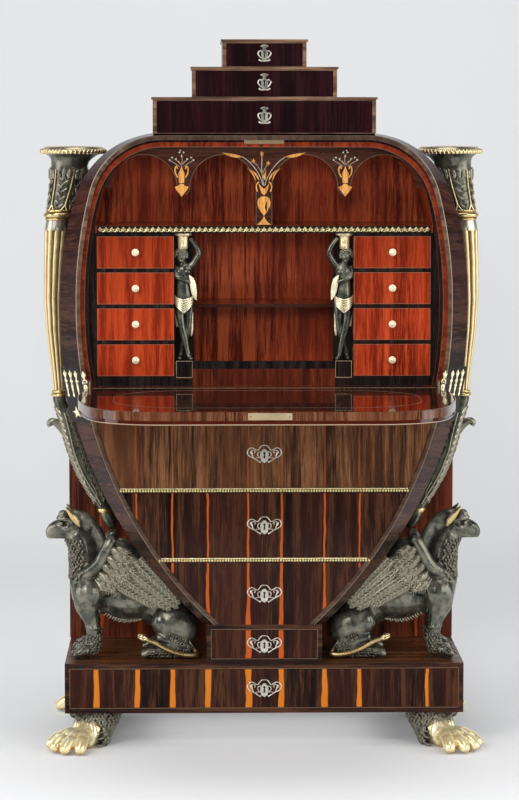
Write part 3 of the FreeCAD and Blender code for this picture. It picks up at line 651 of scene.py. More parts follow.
def edge_banding():
    """Grey-brown edge strip, its grain across, with a pale painted highlight line along its rounded outer
    edge, and painted shade darkening its foot and its top.
    """
    material, tree, shader = new_material("edge_banding")
    spot, parts, _ = places(tree)
    up = parts["Z"]
    colour, relief = veneer_colour(tree, crossways(tree), *FRAME_TONES, 90.0, 8.0)
    # Painted highlight: a pale line on the rounded outer edge, weaker low down and fading at the top.
    outer = calc(tree, "LESS_THAN", strip_place(tree)["Y"], 0.0018)
    outer = times(tree, outer, reach(tree, up, 0.60, 0.95, 0.4, 0.9))
    outer = times(tree, outer, reach(tree, up, 1.29, 1.24, 0.15, 1.0))
    # Painted shade: the strip darkens towards its foot and at its top.
    dark = calc(tree, "MAXIMUM", reach(tree, up, 0.95, 0.55, 0.3, 0.6), reach(tree, up, 1.24, 1.29, 0.0, 0.7))
    colour = tint(tree, dark, colour, (0.016, 0.009, 0.007))
    colour = tint(tree, outer, colour, (0.42, 0.35, 0.26))
    finish_wood(tree, shader, colour, relief, spot, 0.3, 0.1)
    return material


def fall_finish():
    """Fall: polished red above, a brown edge over a red recess darkened with painted shade and a pale painted
    highlight line, figured brown below.
    """
    material, tree, shader = new_material("fall_veneers")
    spot, parts, facing = places(tree)
    top, relief = veneer_colour(tree, lying(tree, parts, facing), *FALL_TONES, 60.0, 13.0)
    edge, _ = veneer_colour(tree, upright(tree, parts, facing), *EDGE_TONES, 80.0, 17.0)
    under, _ = veneer_colour(tree, upright(tree, parts, facing), *BROWN_TONES, 48.0, 4.0)
    recess_top, painted_highlight_top = WRITING - 0.0179, WRITING - 0.0245
    # Painted shade: the red of the recess is darkened for the shade in the groove.
    side = tint(tree, calc(tree, "GREATER_THAN", parts["Z"], recess_top), (0.060, 0.008, 0.004), edge)
    # Painted highlight: a pale line at the foot of the edge, on the lower moulding.
    side = tint(tree, calc(tree, "LESS_THAN", parts["Z"], painted_highlight_top), side, (0.30, 0.20, 0.13))
    colour = tint(tree, calc(tree, "GREATER_THAN", facing["Z"], 0.7), side, top)
    colour = tint(tree, calc(tree, "LESS_THAN", facing["Z"], -0.7), colour, under)
    finish_wood(tree, shader, colour, relief, spot, 0.12, 0.55, 0.02, 0.12)
    return material


def metal(name, base, rubbed, hollow, rough, metallic, mottled, depth=0.0004, rub=0.8):
    """Aged metal: a mottled base tone, brighter where it is rubbed, darker in the hollows where patina sits,
    the hollows deepened with painted shade from ambient occlusion.
    """
    material, tree, shader = new_material(name)
    spot, _, _ = places(tree)
    ridge = node(tree, "NewGeometry").outputs["Pointiness"]
    age = use(tree, AGED_METAL, {"Place": spot, "Ridge": ridge})
    # Painted shade: ambient occlusion darkens the colour in crevices and gaps, on top of the patina of the
    # hollows.
    shade = node(tree, "AmbientOcclusion", {"Distance": 0.012}, samples=4).outputs["AO"]
    deep = calc(tree, "MAXIMUM", age["Hollow"], reach(tree, shade, 0.92, 0.42))
    colour = tint(tree, age["Mottle"], base, mottled)
    colour = tint(tree, times(tree, deep, 0.9), colour, hollow)
    colour = tint(tree, times(tree, age["Rubbed"], rub), colour, rubbed)
    dull = times_plus(tree, age["Mottle"], 0.16, rough)
    dull = times_plus(tree, age["Rubbed"], -0.08, dull)
    dull = times_plus(tree, deep, 0.2, dull)
    bump = node(tree, "Bump", {"Height": age["Height"], "Strength": 0.35, "Distance": depth}).outputs[0]
    feed(tree, shader, {"Base Color": colour, "Roughness": dull, "Normal": bump, "Metallic": metallic})
    return material


def inlay_wood(name, tone, shade):
    """Pale marquetry wood with a scorched shade at its grain."""
    material, tree, shader = new_material(name)
    spot, parts, facing = places(tree)
    figure = grain_noise(tree, upright(tree, parts, facing), 360.0, 3.0)
    cloud = reach(tree, grain_noise(tree, spot, 160.0, 2.0), 0.45, 0.75)
    colour = tint(tree, reach(tree, figure, 0.4, 0.7), tone, shade)
    colour = tint(tree, times(tree, cloud, 0.45), colour, shade)
    finish_wood(tree, shader, colour, figure, spot, 0.25, 0.4)
    return material


# Finishes
FRONT_VENEER = FRONT + 0.003
DARK_DRAWER = striped_front("striped_rosewood_drawer", DARK_TONES, ORANGE, 1.0, behind=FRONT_VENEER)
PLINTH_DRAWER = striped_front("striped_rosewood_plinth_drawer", DARK_TONES, AMBER, 2.0, behind=FRONT_VENEER)
BROWN_DRAWER = striped_front("brown_rosewood_drawer", BROWN_TONES, DULL_ORANGE, 4.0, 48.0, 0.26,
                             behind=FRONT_VENEER, streak_share=0.25)
TIER_DRAWER = striped_front("wine_dark_drawer", TIER_TONES, None, 6.0, 30.0, 0.16, behind=FRONT_VENEER,
                            shine=0.17)
# Painted shade: the red drawers darken towards the top of the interior.
RED_DRAWER = striped_front("red_mahogany_drawer", RED_TONES, None, 7.0, 75.0, 0.16, behind=INTERIOR + 0.003,
                           painted_top_shade=(0.82, 1.12, 0.55))
BACK_PANEL = striped_front("red_brown_panel", PANEL_TONES, ORANGE, 9.0, 42.0, 0.2, streak_share=0.75)
BACK_BOARD = plain_wood("red_back_board", BOARD_TONES, 10.0, 70.0, 0.2, "upright")
RED_WOOD = plain_wood("red_mahogany", DEEP_RED_TONES, 7.0, 70.0, 0.2, "upright")
RISER_WOOD = plain_wood("dark_red_riser", RISER_TONES, 12.0, 60.0, 0.16, "upright")
PLINTH_FRAME = plinth_wood()
FALL_FINISH = fall_finish()
RED_BANDING = plain_wood("red_crossbanding", BAND_TONES, 15.0, 70.0, 0.2, "cross")
CASE_BANDING = plain_wood("brown_crossbanding", CASE_TONES, 16.0, 36.0, 0.2, "cross", 0.22)
TIER_FRAME = plain_wood("brown_tier_frame", FRAME_TONES, 18.0, 60.0, 0.24, "lying")
ARCADE_WOOD = plain_wood("dark_arcade_veneer", ARCADE_TONES, 19.0, 60.0, 0.2, "lying")
BLACK_WOOD = plain_wood("ebonised_wood", BLACK_TONES, 20.0, 80.0, 0.2, "upright")
OAK = plain_wood("plain_oak", OAK_TONES, 21.0, 60.0, 0.5, "lying", 0.0)
CASE_SHELL = carcass_wood()
EDGE_BANDING = edge_banding()
PALE_LINE = inlay_wood("pale_stringing", (0.42, 0.33, 0.21), (0.26, 0.18, 0.10))
DIM_LINE = inlay_wood("dim_stringing", (0.20, 0.13, 0.08), (0.12, 0.07, 0.04))
YELLOW_INLAY = inlay_wood("yellow_marquetry", (0.60, 0.29, 0.075), (0.30, 0.10, 0.022))
GREY_INLAY = inlay_wood("grey_marquetry", (0.36, 0.34, 0.27), (0.22, 0.20, 0.15))
WHITE_INLAY = inlay_wood("white_marquetry", (0.62, 0.60, 0.54), (0.40, 0.37, 0.30))
DARK_INLAY = inlay_wood("scorched_marquetry", (0.06, 0.025, 0.012), (0.03, 0.012, 0.008))
GILT = metal("burnished_gilding", (0.72, 0.50, 0.20), (0.95, 0.80, 0.48), (0.20, 0.085, 0.025), 0.26, 1.0,
             mottled=(0.80, 0.60, 0.29))
PALE_GILT = metal("pale_gilding", (0.78, 0.60, 0.30), (0.96, 0.84, 0.56), (0.22, 0.12, 0.045), 0.32, 0.9,
                  mottled=(0.84, 0.68, 0.38))
BRONZE = metal("dark_bronze_patina", (0.085, 0.095, 0.078), (0.55, 0.50, 0.38), (0.010, 0.013, 0.010),
               0.24, 0.85, mottled=(0.27, 0.255, 0.195), rub=0.6)
WORN_BRONZE = metal("worn_bronze_patina", (0.080, 0.090, 0.066), (0.62, 0.56, 0.42), (0.008, 0.010, 0.008),
                    0.26, 0.85, mottled=(0.185, 0.178, 0.13), rub=0.75)
HAIR_BRONZE = metal("dark_hair_patina", (0.068, 0.070, 0.056), (0.34, 0.31, 0.23), (0.010, 0.012, 0.010),
                    0.34, 0.7, mottled=(0.14, 0.132, 0.10), rub=0.4)
BRIGHT_GILT = metal("bright_gilding", (1.0, 0.83, 0.45), (1.0, 0.95, 0.72), (0.42, 0.24, 0.07), 0.22, 0.72,
                    mottled=(1.0, 0.90, 0.58))
BEAD_GILT = metal("bead_gilding", (0.95, 0.72, 0.29), (1.0, 0.87, 0.48), (0.30, 0.17, 0.05), 0.24, 0.8,
                  mottled=(0.97, 0.78, 0.37))
BRASS = metal("worn_brass", (0.40, 0.28, 0.14), (0.74, 0.60, 0.38), (0.12, 0.07, 0.03), 0.50, 1.0,
              mottled=(0.46, 0.35, 0.20), depth=0.00006)
SILVER = metal("silvered_mounts", (0.60, 0.55, 0.46), (0.88, 0.84, 0.74), (0.15, 0.11, 0.07), 0.30, 1.0,
               mottled=(0.68, 0.64, 0.56))
KNOB_BRASS = metal("pale_turned_knobs", (0.84, 0.74, 0.48), (0.95, 0.89, 0.68), (0.40, 0.27, 0.12),
                   0.24, 0.35, mottled=(0.88, 0.80, 0.56))
KEYHOLE_SHADOW = plain_wood("keyhole_shadow", BLACK_TONES, 23.0, 60.0, 0.6, "upright", 0.0)


def dress(material, *names):
    """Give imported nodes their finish."""
    for name in names:
        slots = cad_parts[name].data.materials
        if len(slots):
            slots[0] = material
        else:
            slots.append(material)


dress(PLINTH_FRAME, "plinth_case", "waist_case")
dress(BACK_PANEL, "lower_back_panel")
dress(CASE_SHELL, "case_side_left", "case_side_right")
dress(BACK_BOARD, "case_back")
dress(RED_WOOD, "interior_shelves")
dress(OAK, "dust_boards")
dress(PLINTH_DRAWER, "plinth_drawer")
dress(DARK_DRAWER, "waist_drawer", "big_drawer_lower", "big_drawer_middle")
dress(BROWN_DRAWER, "big_drawer_upper")
dress(TIER_FRAME, "stepped_case")
dress(ARCADE_WOOD, "arcade_panel", "writing_bed")
dress(BLACK_WOOD, "drawer_nest_left", "drawer_nest_right")
dress(BRASS, "strike_plate", "hinge_plates")
dress(TIER_DRAWER, *("tier_drawer_" + level for level in TIERS))
dress(RED_DRAWER, *("small_drawer_" + spot for spot in SMALL_DRAWERS))


# Oval veneers

class Oval:
    """Right half of an oval outline: belly arc, short straight, flank arc, shoulder arc and flat top."""

    def __init__(self, half, top, shoulder, flank, foot):
        drop = BELLY_TOP - CASE_BOTTOM
        self.half, self.top, self.shoulder, self.flank = half, top, shoulder, flank
        self.belly = (drop ** 2 + (half - foot) ** 2) / (2 * (half - foot))
        self.flank_x = half - flank
        self.shoulder_z = top - shoulder
        rise = self.shoulder_z - WIDEST
        self.shoulder_x = self.flank_x + sqrt((flank - shoulder) ** 2 - rise ** 2)
        self.lean = atan2(rise, self.shoulder_x - self.flank_x)

    def path(self, inset):
        """Points x, z up the right half, from the foot to the middle of the top, drawn in by an inset."""
        belly = self.belly - inset
        turn = asin((BELLY_TOP - CASE_BOTTOM) / belly)
        out = arc(self.half - self.belly, BELLY_TOP, belly, -turn, 0.0, 44)[:-1]
        out += [(self.half - inset, BELLY_TOP + (WIDEST - BELLY_TOP) * k / 4) for k in range(4)]
        out += arc(self.flank_x, WIDEST, self.flank - inset, 0.0, self.lean, 26)[:-1]
        out += arc(self.shoulder_x, self.shoulder_z, self.shoulder - inset, self.lean, pi / 2, 30)[:-1]
        return out + [(self.shoulder_x * (1 - k / 10), self.top - inset) for k in range(11)]


FRONT_OVAL = Oval(0.397, case_high.z - 0.004, 0.157, 0.900, waist_high.x - 0.016)
REAR_OVAL = Oval(case_high.x, case_high.z, 0.190, 0.706, waist_high.x + 0.008)

# Rounded section of the edge strip: inset from the outline, and how far it stands proud
EDGE_SECTION = ((0.0, 0.0), (0.0006, 0.0011), (0.003, 0.0018), (0.007, 0.0018), (0.0094, 0.0011),
                (EDGE_BEAD, 0.0))


def rail(path, side, y):
    """Points of an outline on one side of the desk at a depth."""
    return [(side * x, y, z) for x, z in path]


def build_oval_veneers():
    """Crossbanded cant, edge strip and red rebate band of the case."""
    for name, side in zip(SIDES, (-1, 1)):
        front = rail(FRONT_OVAL.path(-VENEER), side, FRONT - VENEER)
        rear = rail(REAR_OVAL.path(-VENEER), side, FRONT + CANT_DEPTH)
        rails = [front, rear] if side < 0 else [rear, front]
        strip_piece("cant_banding_" + name, rails, CASE_BANDING)
        rails = [rail(FRONT_OVAL.path(inset), side, FRONT - VENEER - proud) for inset, proud in EDGE_SECTION]
        strip_piece("edge_banding_" + name, rails, EDGE_BANDING)
        build_band(name, side)


def build_band(name, side):
    """Black ground on the rebate, and on it the red crossbanding with its line, further in at the top."""
    outer, inner = FRONT_OVAL.path(EDGE_BEAD), FRONT_OVAL.path(CAVITY_INSET)
    start = sum(1 for x, z in outer if z < WRITING)
    turn_z, rise = 1.15, 0.13
    strips = {"rebate_ground_": ([], []), "red_banding_": ([], []), "banding_line_": ([], [])}
    for (x0, z0), (x1, z1) in list(zip(outer, inner))[start:]:
        high = min(max((z0 - turn_z) / rise, 0.0), 1.0)
        line = 0.55 + 0.45 * high
        shares = ((0.0, 1.0), (0.28 * high, line), (line - 0.05, line))
        for layer, (rows, ends) in enumerate(zip(strips.values(), shares)):
            y = FRONT + REBATE - FILM - layer * FILM / 2
            for row, share in zip(rows, ends):
                row.append((side * (x0 + (x1 - x0) * share), y, z0 + (z1 - z0) * share))
    order = 1 if side < 0 else -1
    finishes = ((BLACK_WOOD, "ebonised"), (RED_BANDING, "red_mahogany"), (DIM_LINE, "case_veneer"))
    for (part, rows), (material, slot) in zip(strips.items(), finishes):
        strip_piece(part + name, rows[::order], material)


build_oval_veneers()


# Carved pieces, drawn in millimetres and built at the right of the desk

def limb(form, stations, sides=16, flat=1.0, lift=None, steps=5):
    """Smooth tube through stations of three places and a radius, in millimetres."""
    rows = smooth(stations, steps)
    form.tube([tuple(v * MM for v in row) for row in rows], sides, flat, lift)


def lump(form, centre, radii, tilt=0.0, rows=10, sides=16):
    """Ellipsoid in millimetres, tilted about the depth axis by an angle in degrees."""
    turn = Matrix.Rotation(radians(tilt), 3, "Y") if tilt else None
    form.ball([c * MM for c in centre], [r * MM for r in radii], turn, rows, sides)


def tree_of(form):
    """Search tree of a form, for laying details on its surface."""
    return BVHTree.FromPolygons([tuple(p) for p in form.points], form.faces)


def lock_of_hair(form, place, normal, ahead, long, thick, swirl):
    """Lock of hair on a surface: it rises, bends to one side and tapers."""
    ahead = (ahead - normal * ahead.dot(normal)).normalized()
    side = normal.cross(ahead)
    rows = []
    for k in range(6):
        t = k / 5
        lift = thick * (0.1 + 0.8 * sin(pi * (0.15 + 0.8 * t)))
        spot = place + ahead * (long * t * (1 - 0.25 * t)) + side * (swirl * long * t * t) + normal * lift
        rows.append((*spot, thick * (1.0 - 0.7 * t * t)))
    form.tube(rows, 6)


def hair_patch(form, tree, rays, ahead, long, thick, seed):
    """Locks of hair where rays, each a spot and a direction, meet the surface."""
    chance = random.Random(seed)
    for spot, ray in rays:
        place, normal, _, _ = tree.ray_cast(spot, ray)
        if place is None:
            continue
        grow = 0.8 + 0.4 * chance.random()
        lock_of_hair(form, place, normal, ahead, long * grow, thick * grow, chance.uniform(-1.2, 1.2))


def feather(form, root, tip, normal, wide, thick, barbs):
    """Flat feather from root to tip with a raised shaft, and slanting barbs where a number is given."""
    run = tip - root
    length = run.length
    run.normalize()
    side = normal.cross(run)
    shape = ((0.0, 0.55), (0.15, 0.85), (0.4, 1.0), (0.7, 0.95), (0.88, 0.72), (0.97, 0.38), (1.0, 0.08))
    rows = [(*(root + run * (length * t)), wide * share) for t, share in smooth(shape, 3)]
    form.tube(rows, 10, thick / wide, normal)
    shaft = [(*(root + run * (length * t) + normal * thick * 0.95), 0.13 * wide * (1.1 - 0.7 * t))
             for t in (0.0, 0.35, 0.7, 0.96)]
    form.tube(shaft, 6)
    for k in range(barbs):
        t = 0.06 + 0.84 * k / max(barbs - 1, 1)
        start = root + run * (length * t) + normal * thick * 0.92
        half = wide * (0.86 if t < 0.7 else 0.86 - 1.3 * (t - 0.7))
        for hand in (-1, 1):
            end = start + run * half * 1.3 + side * (hand * half) - normal * thick * 0.62
            middle = start.lerp(end, 0.5) + normal * thick * 0.16
            form.tube([(*start, 0.06 * wide), (*middle, 0.07 * wide), (*end, 0.04 * wide)], 5)


def four_toes(form, middle, gap, rows):
    """Four toes that spread from a middle line: each row is a place along, a height and a radius."""
    for spread in (-3 * gap, -gap, gap, 3 * gap):
        across = [middle + share * spread for share in (0.7, 0.95, 1, 1)]
        limb(form, [(u, v, w, radius) for v, (u, w, radius) in zip(across, rows)])


# Depth of the griffins' middle behind the front
GRIFFIN_MIDDLE = 0.115


def griffin_body():
    """Masses of a griffin in one skin: along from the waist, across, up from the plinth."""
    form = Form()
    across = Vector((0, 1, 0))
    limb(form, ((40, 0, 58, 28), (72, 0, 80, 37), (112, 0, 107, 44), (155, 0, 131, 49), (200, 0, 138, 52),
                (232, 0, 139, 50)), flat=0.84, lift=across)
    lump(form, (168, 0, 127), (68, 57, 51))
    limb(form, ((234, 0, 109, 44), (237, 0, 133, 54), (247, 0, 159, 50), (255, 0, 183, 41), (263, 0, 207, 32),
                (267, 0, 231, 28), (274, 0, 253, 27), (284, 0, 267, 24)))
    lump(form, (290, 0, 277), (27, 20, 25))
    limb(form, ((296, 0, 275, 22), (314, 0, 275, 21), (327, 0, 272, 17.5), (335, 0, 266, 13),
                (338, 0, 259, 8), (338, 0, 253, 4)), flat=0.7, lift=across)
    limb(form, ((290, 0, 262, 11), (312, 0, 261, 8.5), (334, 0, 257, 4.5)), flat=0.85, lift=across)
    lump(form, (266, 0, 283), (25, 14, 30))
    lump(form, (285, 0, 296), (26, 14, 17))
    limb(form, ((302, 0, 304, 9), (277, 0, 306, 10), (257, 0, 298.5, 10), (240.7, 0, 281.6, 10),
                (230.7, 0, 265, 10), (224, 0, 249, 9.5), (217, 0, 227, 8.5), (210, 0, 203, 8)), flat=0.9,
         lift=across)
    limb(form, ((258, 0, 280, 18), (248, 0, 258, 20), (238, 0, 234, 19), (230, 0, 208, 18)), flat=0.3,
         lift=across)
    for hand in (-1, 1):
        lump(form, (308, 8 * hand, 307), (11, 8, 8), -8)
        limb(form, ((322, 7 * hand, 299, 3.5), (311, 14 * hand, 298, 5.5), (298, 17 * hand, 296, 5),
                    (286, 17 * hand, 293, 4)))
        lump(form, (298, 15 * hand, 278), (13, 8.5, 9), 12)
        lump(form, (326, 7 * hand, 280), (8, 7, 7))
        limb(form, ((262, 26 * hand, 169, 26), (253, 40 * hand, 143, 36), (255, 44 * hand, 115, 29),
                    (252, 47 * hand, 98, 21), (246, 48 * hand, 77, 14.5), (245, 48 * hand, 63, 13.5),
                    (243, 48 * hand, 46, 13), (244, 49 * hand, 30, 15), (252, 50 * hand, 17, 16)))
        lump(form, (245, 48 * hand, 68), (17, 16.5, 5.5), -8)
        four_toes(form, 50 * hand, 6, ((252, 21, 9.5), (267, 18, 10), (278, 12, 9.5), (284, 7, 6)))
        lump(form, (69, 41 * hand, 68), (52, 25, 38), -24)
        lump(form, (96, 45 * hand, 76), (22, 19, 25))
        limb(form, ((106, 50 * hand, 44, 12), (72, 52 * hand, 38, 13), (36, 50 * hand, 26, 14)))
        limb(form, ((34, 52 * hand, 16, 13), (70, 54 * hand, 18, 14), (105, 55 * hand, 19, 15),
                    (118, 55 * hand, 16, 13.5)))
        four_toes(form, 55 * hand, 5, ((112, 19, 9), (124, 16, 9), (133, 11, 8.5), (138, 7, 5)))
        limb(form, ((222, 50 * hand, 191, 32), (198, 53 * hand, 199, 46), (172, 55 * hand, 186, 43),
                    (146, 56 * hand, 169, 36), (109, 57 * hand, 143, 26), (76, 56 * hand, 122, 12),
                    (66, 56 * hand, 117, 6)), flat=0.2, lift=across)
        lump(form, (214, 50 * hand, 161), (30, 10, 26))
        limb(form, ((288, 34 * hand, 157, 9), (268, 46 * hand, 176, 13), (247, 53 * hand, 190, 13.5),
                    (229, 56 * hand, 207, 13.5), (217, 56 * hand, 231, 13.5), (205, 55 * hand, 253, 12),
                    (194, 54 * hand, 259, 9)))
        limb(form, ((284, 22 * hand, 181, 8), (266, 33 * hand, 191, 9), (250, 38 * hand, 205, 8)))
    skin = fused(form, "griffin_body", 0.0025, 4)
    press_mouth(skin)
    return skin


def press_mouth(skin):
    """Press the line between the two halves of the beak into its sides."""
    half = 2.6
    for point in skin.points:
        u, w = 1000 * point.x, 1000 * point.z
        off = abs(w - 259 - 0.12 * (343 - u))
        if 301 < u and off < half:
            point.y *= 0.80 + 0.20 * off / half


# Quills of a wing from root to tip, and its rows of scale feathers: along and up
QUILLS = (((197, 164), (104, 111)), ((182, 179), (76, 106)), ((165, 194), (60, 110)), ((151, 208), (56, 120)),
          ((142, 219), (59, 131)))
SCALES = (((162, 217), (190, 173), 4), ((172, 227), (206, 159), 5), ((184, 238), (222, 154), 6),
          ((194, 244), (231, 165), 5))
# Least distance of the feathers from the middle of the body
WING_SIDE = 0.059


def griffin_plumage(form, tree):
    """Scale feathers and quills of both wings."""
    for hand in (-1, 1):
        out = Vector((0, hand, 0))

        def surface(u, w, away):
            place = tree.ray_cast(Vector((u * MM, hand * 0.2, w * MM)), -out)[0]
            side = max(hand * place.y, WING_SIDE) if place else WING_SIDE
            return Vector((u * MM, hand * (side + away * MM), w * MM))

        for index, (root, tip) in enumerate(QUILLS):
            start, end = surface(*root, 1.5 + 0.8 * index), surface(*tip, 2.5 + 0.8 * index)
            feather(form, start, end, out, 0.0112, 0.0040, 11)
        for row, (high, low, count) in enumerate(SCALES):
            for k in range(count):
                t = (k + 0.5 * (row % 2)) / (count - 0.5)
                u, w = high[0] + (low[0] - high[0]) * t, high[1] + (low[1] - high[1]) * t
                steep = 0.55 + 0.35 * t
                start = surface(u + 7, w + 7 * steep, 1.5 if row < 3 else -8.0)
                end = surface(u - 15 * (1.15 - 0.5 * t), w - 17 * steep, 5.0)
                feather(form, start, end, out, 0.0092, 0.0052, 4)


def griffin_hair(form, tree):
    """Curls on the throat, and hair on the fore paws, the hind feet and the haunches."""
    rays = []
    for ring, height in enumerate(range(175, 259, 7)):
        for k in range(-6, 7):
            turn = radians(15 * (k + 0.5 * (ring % 2)))
            out = heading(turn)
            rays.append((Vector(((264 + (height - 206) * 0.06) * MM, 0, height * MM)) + out * 0.09, -out))
    hair_patch(form, tree, rays, Vector((0.1, 0, -1)), 0.011, 0.0026, 3)
    for hand in (-1, 1):
        inwards = Vector((0, -hand, 0))
        rays = []
        for height in range(16, 54, 6):
            for k in range(12):
                turn = radians(30 * k + 2.3 * height)
                ray = -heading(turn)
                rays.append((Vector((0.246, 0.049 * hand, height * MM)) - ray * 0.06, ray))
        hair_patch(form, tree, rays, Vector((0.5, 0, -1)), 0.009, 0.0019, 5)
        rays = []
        for along in range(40, 124, 7):
            for height in (8, 15, 22):
                rays.append((Vector(((along + height % 2 * 3) * MM, 0.12 * hand, height * MM)), inwards))
        hair_patch(form, tree, rays, Vector((1, 0, -0.4)), 0.009, 0.0019, 7)
        rays = []
        for k in range(13):
            t = k / 12
            for shift in (0, 9):
                along, up = 78 - 56 * t + 0.3 * shift, 58 - 28 * t - 0.8 * shift
                rays.append((Vector((along * MM, 0.12 * hand, up * MM)), inwards))
        hair_patch(form, tree, rays, Vector((0.5, 0, -1)), 0.010, 0.0020, 9)


def fringe_locks(form):
    """Row of short locks along the lowest line of the belly."""
    fringe = smooth(((229, 104), (211, 89), (190, 79), (168, 76), (145, 79), (128, 88), (112, 101)), 4)
    for index, (along, up) in enumerate(fringe):
        for hand in (-1, 1):
            start = Vector(((along + 1.5 * hand) * MM, 0.016 * hand, (up + 3) * MM))
            long = 0.0100 + 0.0025 * (index % 2)
            lock_of_hair(form, start, Vector((0, hand, 0)), Vector((0.35, 0, -1)), long, 0.0021, 0.3)


def griffin_ears(back):
    """Upright ears: their bronze backs are added to a form, their gilt hollows are one of their own."""
    hollow = Form()
    for hand in (-1, 1):
        rows = ((271, 17 * hand, 282, 4.0), (278, 21 * hand, 293, 8.6), (288, 24 * hand, 307, 8.0),
                (301, 25 * hand, 325, 1.0))
        out = Vector((0.45, hand, -0.15)).normalized()
        limb(back, rows, 12, 0.5, out)
        inner = [(u + 1.4, v + 3.0 * hand, w - 0.8, 0.74 * r) for u, v, w, r in rows]
        limb(hollow, inner, 12, 0.4, out)
    return hollow


def griffin_tail():
    """Gilt tail laid along the hind foot, with its tuft."""
    form = Form()
    limb(form, ((30, -50, 22, 6), (20, -66, 12, 6.2), (44, -73, 11, 6), (80, -73, 21, 5.6),
                (110, -71, 37, 5.2), (128, -70, 44, 5)))
    for angle in turns(5):
        limb(form, ((126, -70, 44, 3.5), (136, -70 + 4.5 * cos(angle), 48 + 4.5 * sin(angle), 4.6),
                    (147, -70 + 3 * cos(angle), 51 + 3 * sin(angle), 1.4)), 8)
    return form


def build_griffins():
    """Two seated griffins on the plinth."""
    body = griffin_body()
    tree = tree_of(body)
    plumage, hair = Form(), Form()
    griffin_plumage(plumage, tree)
    griffin_hair(hair, tree)
    fringe_locks(plumage)
    for hand in (-1, 1):
        lump(body, (312, 17 * hand, 288), (4.5, 3.5, 4))
    hollow = griffin_ears(body)
    stand = Matrix.Translation((waist_high.x, FRONT + GRIFFIN_MIDDLE, PLINTH_TOP))
    parts = (("", body, BRONZE, "patinated_bronze"), ("_plumage", plumage, WORN_BRONZE, "patinated_bronze"),
             ("_hair", hair, HAIR_BRONZE, "patinated_bronze"), ("_ears", hollow, GILT, "gilt"),
             ("_tail", griffin_tail(), GILT, "gilt"))
    pair("carved_griffin_%s", parts, "griffin_%s", stand)


build_griffins()

# Horns: depth of their axis, and its points in millimetres as height, place across and radius
HORN_DEPTH = 0.309
HORN_AXIS = ((431, 331, 5), (438, 334, 10), (449, 338, 14), (461, 343, 13.5), (472, 348, 13.5),
             (486, 355, 15), (505, 364, 17), (550, 387, 20), (605, 410, 20), (661, 428, 17),
             (694, 438, 15.5), (717, 446, 14.5), (750, 448, 12.5), (805, 452, 15), (872, 457, 18),
             (938, 459, 20.5), (1022, 456, 23), (1094, 451, 26), (1116, 448, 25), (1138, 443, 28),
             (1191, 429, 36), (1225, 423, 40), (1242, 420, 41), (1252, 416, 47), (1262, 413, 60),
             (1276, 412, 66))


def horn_at(z):
    """Centre of the horn across the desk and its radius at a height, in millimetres."""
    for (z0, x0, r0), (z1, x1, r1) in zip(HORN_AXIS, HORN_AXIS[1:]):
        if z <= z1:
            t = (z - z0) / (z1 - z0)
            return x0 + (x1 - x0) * t, r0 + (r1 - r0) * t
    return HORN_AXIS[-1][1:]


def horn_point(z, angle, away=0.0, share=1.0):
    """Place on the horn's surface at a height and an angle, some millimetres off it."""
    x, radius = horn_at(z)
    out = radius * share + away
    return Vector(((x + out * cos(angle)) * MM, FRONT + HORN_DEPTH + out * sin(angle) * MM, z * MM))


def horn_sleeve(form, levels, profile=None, sides=40, away=0.0):
    """Stretch of the horn through some heights. A profile shapes the section round the axis."""
    form.rings([[horn_point(z, turn, away, profile(turn) if profile else 1.0) for turn in turns(sides)]
                for z in levels])


def horn_ring(form, z, height, proud):
    """Rounded moulding round the horn."""
    rings = []
    for k in range(9):
        t = pi * k / 8
        level = z - height / 2 * cos(t)
        rings.append([horn_point(level, turn, proud * sin(t) - 1.5) for turn in turns(40)])
    form.rings(rings)


def levels_between(low, high, count):
    """Evenly spaced heights."""
    return [low + (high - low) * k / count for k in range(count + 1)]


def horn_bell(form):
    """Flared mouth: outside, lip and the dished inside, as heights and radii."""
    outside = ((1222, 40), (1232, 40), (1242, 41.5), (1250, 46), (1256, 53), (1260, 62), (1262, 69),
               (1268, 70))
    inside = ((1274, 64), (1270, 58), (1262, 48), (1254, 40), (1248, 30), (1246, 8))
    form.rings([[horn_point(z, turn, radius, 0.0) for turn in turns(48)] for z, radius in outside + inside])


def horn_lip(form):
    """Two gilt rings round the mouth, with beads on the outer one."""
    centre = Vector((horn_at(1268)[0] * MM, FRONT + HORN_DEPTH, 1.2675))
    for ring, rise, thick in ((0.0665, -0.002, 0.0058), (0.0605, 0.0030, 0.0050)):
        form.tube([(*(centre + Vector((ring * cos(angle), ring * sin(angle), rise))), thick)
                   for angle in turns(48) + [2 * pi]], 10)
    for angle in turns(48):
        turn = Matrix.Rotation(angle, 3, "Z") @ Matrix.Rotation(0.35, 3, "X")
        form.ball(centre + turn @ Vector((0.0690, 0, -0.0025)), (0.0048, 0.0038, 0.0062), turn, 6, 8)


def horn_foliage(form, ribs):
    """Carved panels between the ribs: a wavy stem with leaves, leaf tips at the top, gilt ribs."""
    for panel in range(6):
        edge = 2 * pi * panel / 6 - 0.88
        middle = edge + pi / 6
        stem = []
        for k in range(17):
            z = 1139 + 81 * k / 16
            turn = middle + 0.14 * sin(2.2 * pi * k / 8)
            stem.append((*horn_point(z, turn, 0.6), 1.5 * MM))
        form.tube(stem, 6)
        for k in range(9):
            z = 1143 + 8.6 * k
            hand = 1 if k % 2 else -1
            root = horn_point(z, middle, 0.4)
            tip = horn_point(z + 8, middle + hand * 0.36, 1.2)
            out = heading(middle)
            feather(form, root, tip, out, 0.0034, 0.0018, 0)
        for hand in (-1, 0, 1):
            turn = middle + 0.30 * hand
            feather(form, horn_point(1206, turn, 0.3), horn_point(1230 - 4 * abs(hand), turn, 2.0),
                    heading(turn), 0.0055, 0.0024, 3)
        ribs.tube([(*horn_point(z, edge, 0.8), 2.0 * MM) for z in levels_between(1148, 1226, 12)], 8)
        for hand in (-1, 1):
            ribs.tube([(*horn_point(z, edge + hand * shift, 0.8), 1.8 * MM)
                       for z, shift in ((1149, 0.0), (1143, 0.10), (1136, 0.26))], 8)


